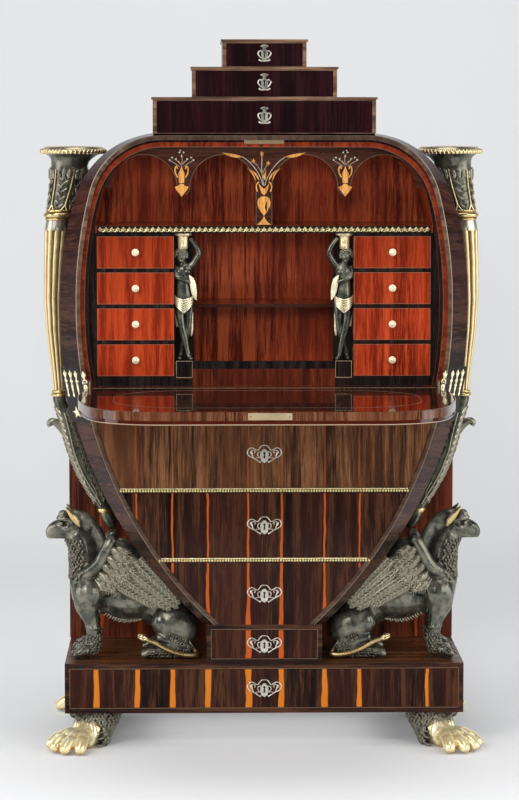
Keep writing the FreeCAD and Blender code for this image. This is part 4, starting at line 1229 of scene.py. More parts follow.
def horn_tail(form, gilt):
    """Dark tail wrapped in a long leaf with a curled tip, its ring and the bud below."""
    horn_sleeve(form, levels_between(436, 738, 70), lambda a: 1.0 + 0.03 * cos(6 * a))
    facing = Vector((0.35, -1, 0)).normalized()
    for k in range(15):
        z = 492 + 13.6 * k
        for hand, turn in ((1, -0.5), (-1, -2.5)):
            root = horn_point(z, turn - 0.5 * hand, 0.2)
            tip = horn_point(z + 20, turn + 0.35 * hand, 1.5)
            out = heading(turn)
            feather(form, root, tip, out, 0.0062, 0.0026, 3)
    form.tube([(*horn_point(z, -1.5 + 0.2 * sin(z / 40), 1.0), 2.2 * MM)
               for z in levels_between(486, 690, 24)], 8)
    for turn in (-0.15, -2.9):
        form.tube([(*horn_point(z, turn, 0.8), 1.3 * MM) for z in levels_between(486, 672, 20)], 6)
    curl = ((432, 0, 648, 14), (444, -3, 660, 11), (456, -4, 668, 8.5), (464, -4, 670, 7.5),
            (469, -4, 665, 7), (466, -4, 659, 5))
    rows = [(x * MM, FRONT + HORN_DEPTH + y * MM, z * MM, r * MM) for x, y, z, r in smooth(curl, 5)]
    form.tube(rows, 12, 0.8, facing)
    loop = []
    for k in range(15):
        angle = pi * (0.2 + 1.5 * k / 14)
        spot = horn_point(522 + 22 * cos(angle), -1.35 + 0.42 * sin(angle), 1.0)
        loop.append((*spot, (2.4 - 0.06 * k) * MM))
    form.tube(loop, 8)
    horn_ring(gilt, 470, 13, 5.0)
    horn_sleeve(form, levels_between(431.5, 464, 12), lambda a: 1.0 + 0.08 * abs(cos(3 * a)), away=0.6)


def build_horns():
    """Two cornucopia arms beside the case."""
    dark, tail, gilt, pale, shaft = Form(), Form(), Form(), Form(), Form()
    horn_bell(dark)
    horn_sleeve(dark, levels_between(1128, 1228, 12), away=-1.0)
    horn_foliage(dark, gilt)
    horn_tail(tail, gilt)
    horn_lip(gilt)
    for z, height, proud in ((1135, 7, 4.0), (1126, 13, 9.0), (1117, 6, 4.5), (736, 7, 4.0), (729, 9, 6.5)):
        horn_ring(gilt, z, height, proud)
    horn_sleeve(pale, levels_between(1092, 1120, 6))
    horn_sleeve(shaft, levels_between(736, 1099, 90),
                lambda a: 0.80 + 0.22 * sqrt(abs(sin(4.5 * a))), 72)
    parts = (("", dark, BRONZE, "patinated_bronze"), ("_mounts", gilt, GILT, "gilt"),
             ("_tail", tail, WORN_BRONZE, "patinated_bronze"), ("_collar", pale, SILVER, "silvered"),
             ("_shaft", shaft, PALE_GILT, "gilt"))
    pair("cornucopia_%s", parts, "horn_%s")


build_horns()

# Paw feet, measured from a corner of the plinth in millimetres: along the front, back and up


def paw_foot():
    """Front right paw in two skins: the hairy leg and the gilt toes."""
    leg, toes = Form(), Form()
    limb(leg, ((-64, 62, 74.5, 55), (-65, 58, 60, 47), (-62, 50, 45, 39.5), (-56, 38, 24, 36),
               (-53, 31, 8, 33)), 24)
    limb(toes, ((-54, 36, 34, 36), (-46, 18, 26, 28), (-38, 4, 18, 26), (-34, -6, 14, 22)), 20)
    rows = ((18, 24, 17), (38, 29, 15.5), (54, 29, 15), (63, 24, 13.5), (71, 24, 14.5), (82, 18, 13.5),
            (90, 13, 11.5), (95, 9, 8))
    for angle, stretch in ((7, 1.16), (24, 1.22), (41, 1.14), (60, 1.0)):
        bearing = radians(angle)
        ahead = (sin(bearing) * stretch, -cos(bearing) * stretch)
        limb(toes, [(-47 + ahead[0] * r, 22 + ahead[1] * r, h, size) for r, h, size in rows], 16)
    paw = fused(toes, "paw", 0.0018, 3)
    shank = fused(leg, "shank", 0.003, 3)
    tree = tree_of(shank)
    rays = []
    for row, height in enumerate(range(12, 76, 7)):
        for k in range(28):
            turn = 2 * pi * (k + 0.5 * (row % 2)) / 28
            if height < 52 and cos(turn + radians(68)) > 0.5:
                continue
            ray = -heading(turn)
            rays.append((Vector((-0.058, 0.044, height * MM)) - ray * 0.1, ray))
    hair_patch(shank, tree, rays, Vector((0.25, -0.25, -1)), 0.016, 0.0036, 11)
    for k in range(5):
        turn = radians(-4 + 20 * k)
        ray = Vector((sin(turn), -cos(turn), 0))
        rows = []
        for height, size in ((14, 8.0), (26, 10.0), (38, 9.5), (49, 7.0), (63 - 6 * (k % 2), 0.8)):
            place = tree.ray_cast(Vector((-0.056, 0.040, height * MM)) + ray * 0.2, -ray)[0]
            rows.append((*(place + ray * 0.0030), size * MM))
        paw.tube(smooth(rows, 4), 10, 0.6, ray)
    for form in (paw, shank):
        for point in form.points:
            point.z = min(max(point.z, 0.0), plinth_low.z)
    return shank, paw


def build_feet():
    """Four paws, one under each corner of the plinth."""
    shank, paw = paw_foot()
    depth = plinth_high.y - plinth_low.y
    corner = Matrix.Translation((plinth_high.x, FRONT, 0))
    back = Matrix.Translation((0, 2 * FRONT + depth, 0)) @ Matrix.Scale(-1, 4, Vector((0, 1, 0)))
    parts = (("", paw, BRIGHT_GILT, "gilt"), ("_leg", shank, HAIR_BRONZE, "patinated_bronze"))
    for row, place in (("front", corner), ("rear", back @ corner)):
        pair("paw_" + row + "_%s", parts, "paw_foot_" + row + "_%s", place)


build_feet()

# Figure supports: sideways from the middle of the pedestal, forwards and up from its top, in millimetres
figure_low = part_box("figure_support_right")[0]
PEDESTAL = 0.037
PEDESTAL_HALF = 0.018
FIGURE_MIDDLE = 0.16925
# Share of a turn from one curl of hair to the next, which spreads them evenly
GOLDEN = 0.381966


def figure_forms():
    """One figure that carries the shelf: bronze body, gilt cloth with basket, and the pedestal."""
    body, cloth, base = Form(), Form(), Form()
    limb(body, ((-1.5, 0, 118, 16), (-1.5, 0, 134, 18), (-1.5, 0, 148, 17), (-2, 0, 162, 15.5),
                (-2, 0, 176, 16.5), (-1, 0, 190, 18), (-1, 0, 199, 15.5), (-3, 0, 206, 9), (-5, -1, 213, 7)),
         flat=0.75, lift=Vector((0, 1, 0)))
    for hand in (-1, 1):
        lump(body, (-1.5 + 8 * hand, -9, 188), (7.5, 5.5, 6.5), rows=8, sides=12)
        lump(body, (-1.5 + 8 * hand, 8, 122), (9, 7, 10), rows=8, sides=12)
    lump(body, (-6, -1, 221), (11.5, 12.5, 15.5))
    lump(body, (-7, 2, 227), (13, 12.5, 11.5))
    lump(body, (-5, -13, 219), (2.2, 3.0, 3.8), rows=6, sides=8)
    lump(body, (-5, -11, 225), (7.0, 3, 2.0), rows=6, sides=8)
    lump(body, (-5, -10, 211), (4.5, 3.2, 2.8), rows=6, sides=8)
    limb(body, ((12, 0, 198, 8), (20, -1, 207, 7), (28, -2, 220, 6.2), (31, -2, 228, 5.8), (27, -2, 240, 5.2),
                (19, -1, 252, 4.6), (12, -1, 260, 4.6)))
    limb(body, ((-15, 0, 198, 8), (-19, -3, 190, 7.2), (-18, -9, 181, 6.6), (-8, -14, 175, 5.6),
                (3, -15, 170, 5), (11, -14, 167, 4)))
    limb(body, ((-9.5, 0, 124, 11.5), (-9.7, -2, 102, 9.8), (-7, -4, 84, 7.8), (-4.5, -5, 70, 7),
                (-1, -5, 56, 7.6), (2, -5, 42, 6.6), (6, -6, 24, 4.6), (9, -7, 11, 4.4), (13, -12, 5, 4.2),
                (15, -18, 3.2, 3)))
    limb(body, ((9.5, 2, 124, 11.5), (9.7, 2, 102, 9.2), (9, 1, 84, 7.2), (8, 1, 70, 6.2), (5, 3, 56, 7),
                (0, 4, 42, 6.2), (-5, 4, 24, 4.6), (-8, 3, 11, 4.4), (-9, -3, 5, 4.2), (-10, -10, 3.2, 3)))
    skin = fused(body, "figure", 0.0011, 3)
    for k in range(60):
        turn = 2 * pi * k * GOLDEN
        rise = -0.35 + 1.5 * k / 60
        spot = Vector((-6.5 + 13.4 * cos(turn) * cos(rise),
                       2 + 13.2 * sin(turn) * cos(rise), 223 + 14.5 * sin(rise)))
        if spot.y > -8.5 or rise > 0.55:
            skin.ball(spot * MM, (0.0030, 0.0030, 0.0026), None, 5, 6)
    for k in range(6):
        rows = []
        for j in range(13):
            turn = pi * (-1.04 + 1.08 * j / 12)
            low = 128.0 - 5.2 * k
            high = 137.0 - 1.6 * k
            rows.append((-1 + (18.8 - 0.2 * k) * cos(turn), -1 + 16.0 * sin(turn),
                         high - (high - low) * (1 - abs(j / 6 - 1)) ** 0.9, 2.2))
        limb(cloth, rows, 8, steps=2)
    for k in range(5):
        limb(cloth, ((11 + 1.8 * k, -10 + k, 181 - 1.5 * k, 2.0), (14 + 2.0 * k, -10 + k, 164, 2.6),
                     (17 + 1.9 * k, -9 + k, 147, 2.6), (19 + 1.6 * k, -8 + k, 136 - 2 * k, 1.2)), 8)
    limb(cloth, ((-18, 1, 126, 2.2), (-18.5, 1, 110, 2), (-17, 1, 90, 2.2), (-15, 1, 77, 3.2),
                 (-14.5, 1, 71, 2)), 8)
    limb(cloth, ((17.5, 2, 110, 1.8), (17, 2, 82, 2.2), (16.5, 2, 66, 2.8), (15.5, 2, 56, 2.4),
                 (15, 2, 51, 1.2)), 8)
    cloth.lathe([(0.236, 0.0090), (0.2375, 0.0104), (0.250, 0.0106), (0.260, 0.0112), (0.2645, 0.0126),
                 (0.2650, 0.0180), (0.2665, 0.0190), (0.2695, 0.0190), (0.2706, 0.0184)],
                (-0.0025, 0.0005, 0), (0, 0, 1), 40)
    half = PEDESTAL_HALF
    base.rings([[(x, y, z) for x, y in ((-half, -half), (half, -half), (half, half), (-half, half))]
                for z in (-PEDESTAL, 0.0)])
    return skin, cloth, base


def square_lines(form, x0, x1, z0, z1, y, thick):
    """Fine line round a rectangle that faces the front."""
    corners = ((x0, z0), (x1, z0), (x1, z1), (x0, z1))
    for (xa, za), (xb, zb) in zip(corners, corners[1:] + corners[:1]):
        form.tube([(xa, y, za, thick), (xb, y, zb, thick)], 8, 0.5, Vector((0, 1, 0)))


def build_figures():
    """Two figures that carry the arcade shelf on their heads."""
    skin, cloth, base = figure_forms()
    lines = Form()
    square_lines(lines, -0.0170, 0.0170, -0.0360, -0.0012, -0.0188, 0.00045)
    parts = (("", skin, BRONZE, "patinated_bronze"), ("_cloth", cloth, BRIGHT_GILT, "gilt"),
             ("_pedestal", base, BLACK_WOOD, "ebonised"), ("_pedestal_line", lines, PALE_LINE, "case_veneer"))
    middle = (FIGURE_MIDDLE, figure_low.y + PEDESTAL_HALF, figure_low.z + PEDESTAL)
    pair("figure_%s", parts, "figure_support_%s", Matrix.Translation(middle) @ MIRROR, 50)


build_figures()


# Mounts and small pieces: drawn in millimetres in their own upright plane, facing the front

FACING = Vector((0, -1, 0))


def wire(form, points, steps=4):
    """Rounded wire through points x, z and radius, lying on the plane behind it."""
    rows = [(x * MM, -0.45 * r * MM, z * MM, r * MM) for x, z, r in smooth(points, steps)]
    form.tube(rows, 8, 0.7, FACING)


def both_hands(points):
    """The same points on the right and on the left."""
    return [[(hand * x, *rest) for x, *rest in points] for hand in (1, -1)]


def leaf(form, root, tip, wide, thick=1.3):
    """Plain raised leaf between two points x, z."""
    ends = [Vector((x * MM, -0.3 * thick * MM, z * MM)) for x, z in (root, tip)]
    feather(form, *ends, FACING, wide * MM, thick * MM, 0)


def knob_of(form, x, z, radius):
    """Rounded boss."""
    radii = [radius * MM, 0.8 * radius * MM, radius * MM]
    form.ball((x * MM, -0.3 * radius * MM, z * MM), radii, None, 6, 10)


def block(form, low, high):
    """Box between two corners in metres."""
    (x0, y0, z0), (x1, y1, z1) = low, high
    form.rings([[(x0, y0, z), (x1, y0, z), (x1, y1, z), (x0, y1, z)] for z in (z0, z1)])


def half_outline(points):
    """Closed outline in metres from its right half, which runs from the top to the bottom."""
    right = [(x * MM, z * MM) for x, z in points]
    left = [(-x, z) for x, z in right[::-1] if x > 0]
    return right + left


def keyhole():
    """Outline of the keyhole in a plate, in metres."""
    z, size = 1.6, 5.0
    out = arc(0.0, z, 0.5 * size, radians(-60), radians(240), 12)
    out += [(-0.38 * size, z - 2.2 * size), (0.38 * size, z - 2.2 * size)]
    return [(px * MM, pz * MM) for px, pz in out]


def lock_plate(form, outlines):
    """Add a flat plate with its back on the drawer front."""
    thick = 0.0016
    form.place(flat_plate(outlines, thick, 0.0004), Matrix.Translation((0, -thick / 2, 0)))


def drawer_escutcheon():
    """Pierced plate of a wide drawer: scrolled frame, straps and keyhole plate."""
    form = Form()
    frame_line = ((0, 18.0, 1.5), (5.6, 17.4, 1.5), (9.9, 12.5, 1.4), (12.8, 8.6, 1.4), (15.7, 7.8, 1.4),
                  (20.8, 10.3, 1.5), (25.9, 13.0, 1.6), (30.9, 11.7, 1.6), (34.6, 7.4, 1.6), (36.0, 2.3, 1.6),
                  (33.8, -2.8, 1.6), (29.5, -6.0, 1.6), (23.7, -8.6, 1.6), (18.6, -11.4, 1.5),
                  (13.6, -15.1, 1.5), (9.2, -17.6, 1.5))
    scroll = ((23.7, -8.6, 1.3), (25.9, -1.3, 1.8), (28.2, 3.0, 2.8), (27.3, 6.4, 2.0), (23.5, 7.6, 1.2),
              (20.2, 6.2, 1.1), (19.8, 3.4, 1.1), (21.5, 1.4, 1.0))
    straps = (((18.6, -8.9, 1.1), (12.1, -8.2, 1.1), (7.5, -8.6, 1.1)),
              ((7.6, 5.0, 1.2), (12.6, 3.0, 1.2), (14.2, -1.0, 1.2), (12.8, -5.4, 1.2), (7.6, -8.4, 1.2)))
    for line in (frame_line, scroll, *straps):
        for hand in both_hands(line):
            wire(form, [(x, z, 0.78 * r) for x, z, r in hand])
    for x in (-9.2, 0.0, 9.2):
        knob_of(form, x, -17.4, 2.1)
    plate = half_outline(((0, 10.6), (2.8, 9.8), (4.8, 7.6), (6.0, 5.4), (8.2, 4.4), (8.6, 0), (8.6, -7.8),
                          (7.6, -11), (7.2, -13.6), (5.6, -16.6), (0, -17.6)))
    lock_plate(form, [plate, keyhole()])
    return form


def tier_escutcheon():
    """Small vase-shaped plate with a fan above and scrolled feet."""
    form = Form()
    fan = half_outline(((0, 18.0), (4.2, 17.4), (7.4, 14.6), (4.2, 11.6), (2.6, 9.4), (0, 9.2)))
    vase = half_outline(((0, 10.4), (2.4, 8.8), (6.6, 4.2), (7.2, -2.2), (6.2, -8.2), (5.8, -13.4),
                         (0, -14.2)))
    lock_plate(form, [fan])
    lock_plate(form, [vase, keyhole()])
    handle = ((6.2, 4.0, 1.2), (9.8, 4.4, 1.3), (12.8, 1.6, 1.4), (13.0, -2.2, 1.4), (10.4, -6.6, 1.3),
              (6.4, -10.4, 1.2))
    base = ((0, -16.2, 1.5), (5.0, -16.4, 1.5), (8.6, -16.2, 1.5), (10.4, -14.8, 1.6))
    for line in (handle, base):
        for hand in both_hands(line):
            wire(form, hand)
    for x in (-10.4, 10.4):
        knob_of(form, x, -14.4, 2.3)
    for x in (-6.6, 6.6):
        knob_of(form, x, 14.6, 1.5)
    return form


def build_escutcheons():
    """Pierced plates on the locked drawers with a dark painted-shadow patch in each keyhole, and the lock
    cases behind the fronts.
    """
    wide, small = drawer_escutcheon(), tier_escutcheon()
    locks = [("plinth_drawer", "plinth_drawer_lock", wide), ("waist_drawer", "waist_drawer_lock", wide)]
    for level in TIERS:
        locks.append(("big_drawer_" + level, "big_drawer_lock_" + level, wide))
        locks.append(("tier_drawer_" + level, "tier_drawer_lock_" + level, small))
    for body, name, plate in locks:
        low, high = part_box(name)
        middle = (low.z + high.z) / 2
        lock = plate.put(Matrix.Translation((0, FRONT, middle)))
        case_half = 0.017 if plate is wide else 0.011
        block(lock, (-0.025, FRONT + 0.020, middle - case_half), (0.025, FRONT + 0.032, middle + case_half))
        piece("escutcheon_" + body, lock, SILVER, body, 50, (name,))
        # Painted shadow: a dark patch on the front stands for the shade inside the keyhole.
        hole = Form()
        block(hole, (-0.0034, FRONT - 0.0003, middle - 0.011), (0.0034, FRONT + 0.0002, middle + 0.005))
        piece("keyhole_" + body, hole, KEYHOLE_SHADOW, body)


def build_knobs():
    """Turned knobs of the small drawers, each on a spigot in the front."""
    profile = ((0.0, 5.6), (1.0, 5.6), (1.8, 3.8), (3.4, 3.5), (5.6, 5.2), (8.0, 7.5), (10.2, 8.0),
               (12.2, 7.3), (13.2, 5.8), (13.5, 4.9), (13.1, 4.4), (13.9, 3.6), (14.8, 2.0), (15.0, 0.2))
    rows = [(along * MM, radius * MM) for along, radius in smooth(profile, 3)]
    for spot in SMALL_DRAWERS:
        low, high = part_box("knob_" + spot)
        centre = ((low.x + high.x) / 2, INTERIOR, (low.z + high.z) / 2)
        knob = Form()
        knob.lathe(rows, centre, FACING)
        knob.lathe([(-0.0138, 0.003), (0.001, 0.003)], centre, FACING, 16)
        piece("turned_knob_" + spot, knob, KNOB_BRASS, "small_drawer_" + spot, 50,
              ("knob_" + spot,))


# Bead strips: height and half length, and the pitch of the beads and of the links in the frieze
BEAD_STRIPS = ((0.404, 0.2250), (0.553, 0.3070))
BEAD_PITCH = 0.0058
LINK_PITCH = 0.0123


def build_beading():
    """Rope beads between the big drawers and the pierced frieze on the edge of the arcade shelf."""
    beads, bed = Form(), Form()
    for z, half in BEAD_STRIPS:
        block(bed, (-half, FRONT + 0.0008, z - 0.0040), (half, FRONT + 0.009, z + 0.0043))
        block(beads, (-half, FRONT - 0.0010, z + 0.0026), (half, FRONT + 0.002, z + 0.0043))
        count = int(2 * half / BEAD_PITCH)
        for k in range(count):
            x = -half + (k + 0.5) * 2 * half / count
            beads.ball((x, FRONT - 0.0002, z - 0.0008), (0.0025, 0.0036, 0.0036), None, 6, 10)
    piece("beading_bed", bed, BLACK_WOOD)
    piece("rope_beading", beads, BEAD_GILT, replaces=("gilt_beading",))
    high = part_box("gilt_beading")[1]
    half, face = high.x, high.y - 0.0066
    board = Form()
    block(board, (-half, face, high.z - 0.015), (half, high.y, high.z))
    piece("shelf_edge", board, BLACK_WOOD)
    frieze = Form()
    count = int(2 * half / LINK_PITCH)
    pitch = 2000 * half / count
    for k in range(count):
        x = -1000 * half + (k + 0.5) * pitch
        frieze.ball((x * MM, -0.0006, 0.0006), (0.0046, 0.0024, 0.0052), None, 2, 4)
        if k:
            wire(frieze, ((x - pitch + 2.2, -1.6, 0.8), (x - pitch / 2, -4.4, 0.9), (x - 2.2, -1.6, 0.8)))
            wire(frieze, ((x - pitch + 3.0, 0.6, 0.7), (x - 3.0, 0.6, 0.7)), 1)
    frieze = frieze.put(Matrix.Translation((0, face, high.z - 0.0075)))
    piece("shelf_frieze", frieze, BEAD_GILT, sharp=20)


def fall_outline(inset):
    """Plan of the lowered fall, x and y, drawn in by an inset."""
    notch = 0.7877
    hinge_edge = FRONT + FLAP_THICK - 0.3 * inset
    start = sum(1 for x, z in FRONT_OVAL.path(FLAP_INSET) if z <= notch + 0.006)
    corner = edge_spot(FRONT_OVAL, notch + inset, 0.0, FLAP_INSET + inset)
    right = [(FALL_END - inset, hinge_edge), (FALL_END - inset, FRONT + WRITING - notch),
             (corner.x, FRONT + WRITING - notch - inset)]
    right += [(x, FRONT + WRITING - z) for x, z in FRONT_OVAL.path(FLAP_INSET + inset)[start:]]
    return right + [(-x, y) for x, y in right[::-1] if x > 0]


def build_fall():
    """Writing flap with moulded edge, lock plate, bushes and pale lines, and the lip of the strike plate."""
    section = ((3.0, 0.0), (1.2, 0.4), (0.6, 1.5), (0.6, 2.4), (5.0, 2.6), (5.0, 9.0), (0.0, 9.2),
               (0.0, 25.6), (0.5, 26.6), (1.5, 27.0))
    front, foot = fall_low.y, fall_low.z
    board = Form()
    board.rings([[(x, y, foot + rise * MM) for x, y in fall_outline(inset * MM)] for inset, rise in section])
    piece("fall_leaf", board, FALL_FINISH, "fall", 14, ("fall_board",))
    brass = Form()
    block(brass, (-0.043, front - 0.0004, foot + 0.0108), (0.043, front + 0.002, foot + 0.0242))
    square_lines(brass, -0.0424, 0.0424, foot + 0.0114, foot + 0.0236, front - 0.0003, 0.0006)
    for x in (-0.038, 0.038):
        brass.ball((x, front - 0.0003, foot + 0.0175), (0.0026, 0.0004, 0.0026), None, 6, 12)
    bush = ((0.0, 0.0079), (0.0, 0.00505), (0.019, 0.00505), (0.019, 0.0079), (0.0, 0.0079))
    for hand in (-1, 1):
        brass.lathe(bush, (hand * FALL_END, PIN_Y, PIN_Z), (-hand, 0, 0))
    piece("fall_lock_plate", brass, BRASS, "fall", 30, ("fall_brassware",))
    outer = rounded_frame(0.312, -0.440, -0.062, 0.150)
    inner = rounded_frame(0.3112, -0.4392, -0.0628, 0.1492)
    hinge = [(-0.362, -0.004), (0.362, -0.004), (0.362, -0.0018), (-0.362, -0.0018)]
    flat = Matrix(((1, 0, 0, 0), (0, 0, 1, FRONT), (0, -1, 0, WRITING), (0, 0, 0, 1)))
    for name, outlines, material in (("fall_stringing", [outer, inner], DIM_LINE),
                                     ("fall_hinge_line", [hinge], PALE_LINE)):
        lines = flat_plate(outlines, VENEER, LINE_EDGE).put(flat)
        piece(name, lines, material, "fall")
    lip = Form()
    top = FRONT_OVAL.top - EDGE_BEAD
    block(lip, (-0.042, FRONT + REBATE - 2.6 * FILM, top - 0.0075), (0.042, FRONT + REBATE, top - 0.0003))
    piece("strike_lip", lip, BRASS)


def rounded_frame(half, low, high, radius):
    """Outline of a rectangle with rounded corners."""
    out = []
    for x, y, start in ((half - radius, high - radius, 0), (radius - half, high - radius, 90),
                        (radius - half, low + radius, 180), (half - radius, low + radius, 270)):
        out += arc(x, y, radius, radians(start), radians(start + 90), 12)
    return out


def leaf_outline(root, tip, half, bend=0.0):
    """Outline of a pointed leaf in metres, bent to one side."""
    (x0, z0), (x1, z1) = root, tip
    across = (z1 - z0, x0 - x1)
    long = hypot(*across)
    out = []
    for hand in (1, -1):
        for k in range(7):
            t = k / 6 if hand > 0 else 1 - k / 6
            wide = half * hand * sin(pi * t ** 0.8) + bend * sin(pi * t)
            out.append(((x0 + (x1 - x0) * t + across[0] / long * wide) * MM,
                        (z0 + (z1 - z0) * t + across[1] / long * wide) * MM))
    return out[:6] + out[7:13]


def stem_outline(points, half):
    """Outline of an even stem through points, in metres."""
    path = [Vector((x, z)) for x, z in smooth(points, 5)]
    right, left = [], []
    for i, place in enumerate(path):
        run = (path[min(i + 1, len(path) - 1)] - path[max(i - 1, 0)]).normalized()
        side = Vector((run.y, -run.x)) * half
        right.append(tuple((place + side) * MM))
        left.append(tuple((place - side) * MM))
    return right + left[::-1]


def bloom_outline(x, z, size, petals):
    """Outline of a small flower."""
    out = []
    for turn in turns(petals * 4):
        radius = size * (0.62 + 0.38 * cos(petals * turn))
        out.append(((x + radius * cos(turn)) * MM, (z + radius * sin(turn)) * MM))
    return out


def moved(outline, hand, x=0.0):
    """Outline mirrored where the hand is -1, and moved sideways."""
    return [(hand * px + x * MM, pz) for px, pz in outline]


def urn_inlay():
    """Urn with wheat and flowers on the middle pier: outlines by wood."""
    yellow = [half_outline(((0, 1131.5), (5.2, 1122.5), (9.5, 1117.5), (15.5, 1113.4), (0, 1113.2))),
              half_outline(((0, 1173.6), (6.4, 1172.4), (11.6, 1168.4), (13.9, 1160.0), (12.6, 1152.0),
                            (8.0, 1143.0), (3.0, 1136.0), (0, 1132.0))),
              half_outline(((0, 1189.0), (5.5, 1194.0), (11.4, 1200.6), (8.0, 1188.0), (5.8, 1181.0),
                            (0, 1175.0)))]
    handle = ((13.6, 1183.0), (16.2, 1192.0), (14.6, 1200.0), (10.4, 1203.6))
    stalk = ((1.6, 1196), (7, 1212), (18, 1231), (32, 1247), (46, 1257))
    grey = [stem_outline(((-0.5, 1196), (-4.5, 1228), (-4.2, 1257)), 0.7)]
    for hand in (1, -1):
        yellow.append(moved(stem_outline(handle, 1.3), hand))
        grey.append(moved(stem_outline(stalk, 0.8), hand))
        yellow.append(moved(leaf_outline((45, 1256.5), (89, 1266), 3.4, 1.6), hand))
        yellow.append(moved(leaf_outline((10, 1206), (27, 1229), 1.9, -2.2), hand))
        yellow.append(moved(leaf_outline((14, 1205), (33, 1234), 1.4, -3.4), hand, 3.4 * hand))
    yellow.append(leaf_outline((1.8, 1207), (-9, 1229), 1.9, 1.6))
    yellow.append(leaf_outline((3.2, 1207), (4.4, 1231), 1.9, -1.0))
    orange = [leaf_outline((-4.2, 1256), (-6.2, 1269), 2.2), leaf_outline((-4.0, 1256), (-1.6, 1268), 1.8),
              bloom_outline(-23, 1248, 5.4, 5), bloom_outline(9, 1243.5, 5.0, 5)]
    grey.append(stem_outline(((-3.4, 1222), (-14, 1238), (-21, 1245)), 0.5))
    grey.append(stem_outline(((-3.6, 1219), (2, 1232), (7.5, 1240)), 0.5))
    dark = [leaf_outline((5.4, 1141), (6.8, 1164), 2.6, -1.6)]
    return {"yellow": yellow + orange, "grey": grey, "dark": dark, "white": []}


def pendant_inlay():
    """Leafy pendant with small white flowers between two arches: outlines by wood."""
    yellow = [half_outline(((0, 1200.4), (4.2, 1199.0), (6.8, 1195.6), (14.6, 1193.6), (12.4, 1188.6),
                            (9.6, 1184.2), (5.4, 1180.2), (0, 1172.4))),
              half_outline(((0, 1238.0), (3.4, 1228.0), (6.8, 1222.0), (6.2, 1212.0), (5.4, 1201.6),
                            (0, 1201.2)))]
    scroll = ((7.8, 1213), (12.8, 1222), (13.6, 1232), (10.6, 1237), (8.2, 1231))
    grey, white = [], []
    for hand in (1, -1):
        yellow.append(moved(stem_outline(scroll, 1.4), hand))
        yellow.append(moved(leaf_outline((1.8, 1239), (7.6, 1249), 1.0, -0.6), hand))
        grey.append(moved(stem_outline(((1.4, 1239), (7, 1246), (12, 1250)), 0.5), hand))
        grey.append(moved(stem_outline(((4.4, 1236), (14, 1243), (23, 1248)), 0.5), hand))
        for x, z in ((12, 1252), (25, 1250), (20, 1255), (4.4, 1266)):
            white.append(moved(bloom_outline(x, z, 2.6, 3), hand))
    grey.append(stem_outline(((0, 1239), (1.2, 1250), (0, 1262)), 0.5))
    white.append(bloom_outline(0, 1258, 2.4, 3))
    white.append(bloom_outline(-2.5, 1270, 2.2, 3))
    return {"yellow": yellow, "grey": grey, "dark": [], "white": white}


# Lines of the arcade in millimetres: height where the arches spring, and each arc's middle, radius and angles
ARCH_SPRING = 1191.5
ARCH_ARCS = ((86.5, 70.0, 0, 180, 24), (170.0, 13.5, 180, 360, 12), (253.5, 70.0, 180, 51.2, 23))


def arch_line(form, points):
    """Thin pale line let into the arcade through points x, z."""
    form.place(flat_plate([stem_outline(points, 0.32)], VENEER, LINE_EDGE))


def build_marquetry():
    """Inlaid urn, pendants and lines of the arcade."""
    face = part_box("arcade_panel")[0].y
    woods = {"yellow": YELLOW_INLAY, "grey": GREY_INLAY, "dark": DARK_INLAY, "white": WHITE_INLAY}
    groups = [(urn_inlay(), 0, 1), (pendant_inlay(), -174, 1), (pendant_inlay(), 172, -1)]
    for wood, material in woods.items():
        form = Form()
        lift = 0.0003 if wood == "dark" else 0.0
        for outlines, x, hand in groups:
            for outline in outlines[wood]:
                inlay = flat_plate([moved(outline, hand, x)], 0.0006, LINE_EDGE)
                form.place(inlay, Matrix.Translation((0, face - lift, 0)))
        piece("marquetry_" + wood, form, material)
    lines = Form()
    for hand in (-1, 1):
        for middle, radius, start, end, steps in ARCH_ARCS:
            bow = arc(middle, ARCH_SPRING, radius, radians(start), radians(end), steps)
            arch_line(lines, [(hand * x, z) for x, z in bow])
        arch_line(lines, [(hand * 16.5, z) for z in (1112, 1150, 1191)])
    lines = lines.put(Matrix.Translation((0, face, 0)))
    piece("arcade_stringing", lines, DIM_LINE)


def tall_palmette():
    """Upright mount on the edge strip, from its foot up."""
    form = Form()
    leaf(form, (0, 21), (0, 0), 2.8)
    for hand in (-1, 1):
        leaf(form, (0, 18), (3.6 * hand, 5), 1.7)
        leaf(form, (0, 55), (3.8 * hand, 67), 1.6)
    leaf(form, (0, 43), (0, 31), 3.8, 1.6)
    leaf(form, (0, 54), (0, 72), 2.1, 1.6)
    wire(form, ((0, 33, 1.2), (0, 26, 1.2), (0, 19, 1.3)))
    wire(form, ((-4.0, 28, 1.0), (-2.8, 24.6, 1.2), (0, 23.2, 1.3), (2.8, 24.6, 1.2), (4.0, 28, 1.0)))
    wire(form, ((-3.6, 45, 1.1), (-4.0, 49.5, 1.3), (-2.2, 52.4, 1.4), (0, 53, 1.5), (2.2, 52.4, 1.4),
                (4.0, 49.5, 1.3), (3.6, 45, 1.1)))
    knob_of(form, 0, 47, 1.6)
    return form


def slim_palmette():
    """Slender mount of the canted edge, from its foot up."""
    form = Form()
    leaf(form, (0, 32), (0, 47), 1.9, 1.6)
    leaf(form, (0, 29), (0, 8), 2.6, 1.6)
    leaf(form, (0, 10), (0, 0), 2.0)
    knob_of(form, 0, 30, 2.8)
    for hand in (-1, 1):
        leaf(form, (0, 33), (4.6 * hand, 43.5), 1.5)
        leaf(form, (0, 30), (4.6 * hand, 27), 1.4)
        knob_of(form, 2.2 * hand, 20, 1.5)
        knob_of(form, 1.8 * hand, 13.5, 1.3)
        leaf(form, (0, 7), (2.8 * hand, 2), 1.1)
    return form


def edge_spot(oval, z, depth, inset=0.0):
    """Place on the right-hand outline at a height and a depth."""
    belly = oval.belly - inset
    return Vector((oval.half - oval.belly + sqrt(belly ** 2 - (BELLY_TOP - z) ** 2), FRONT + depth, z))


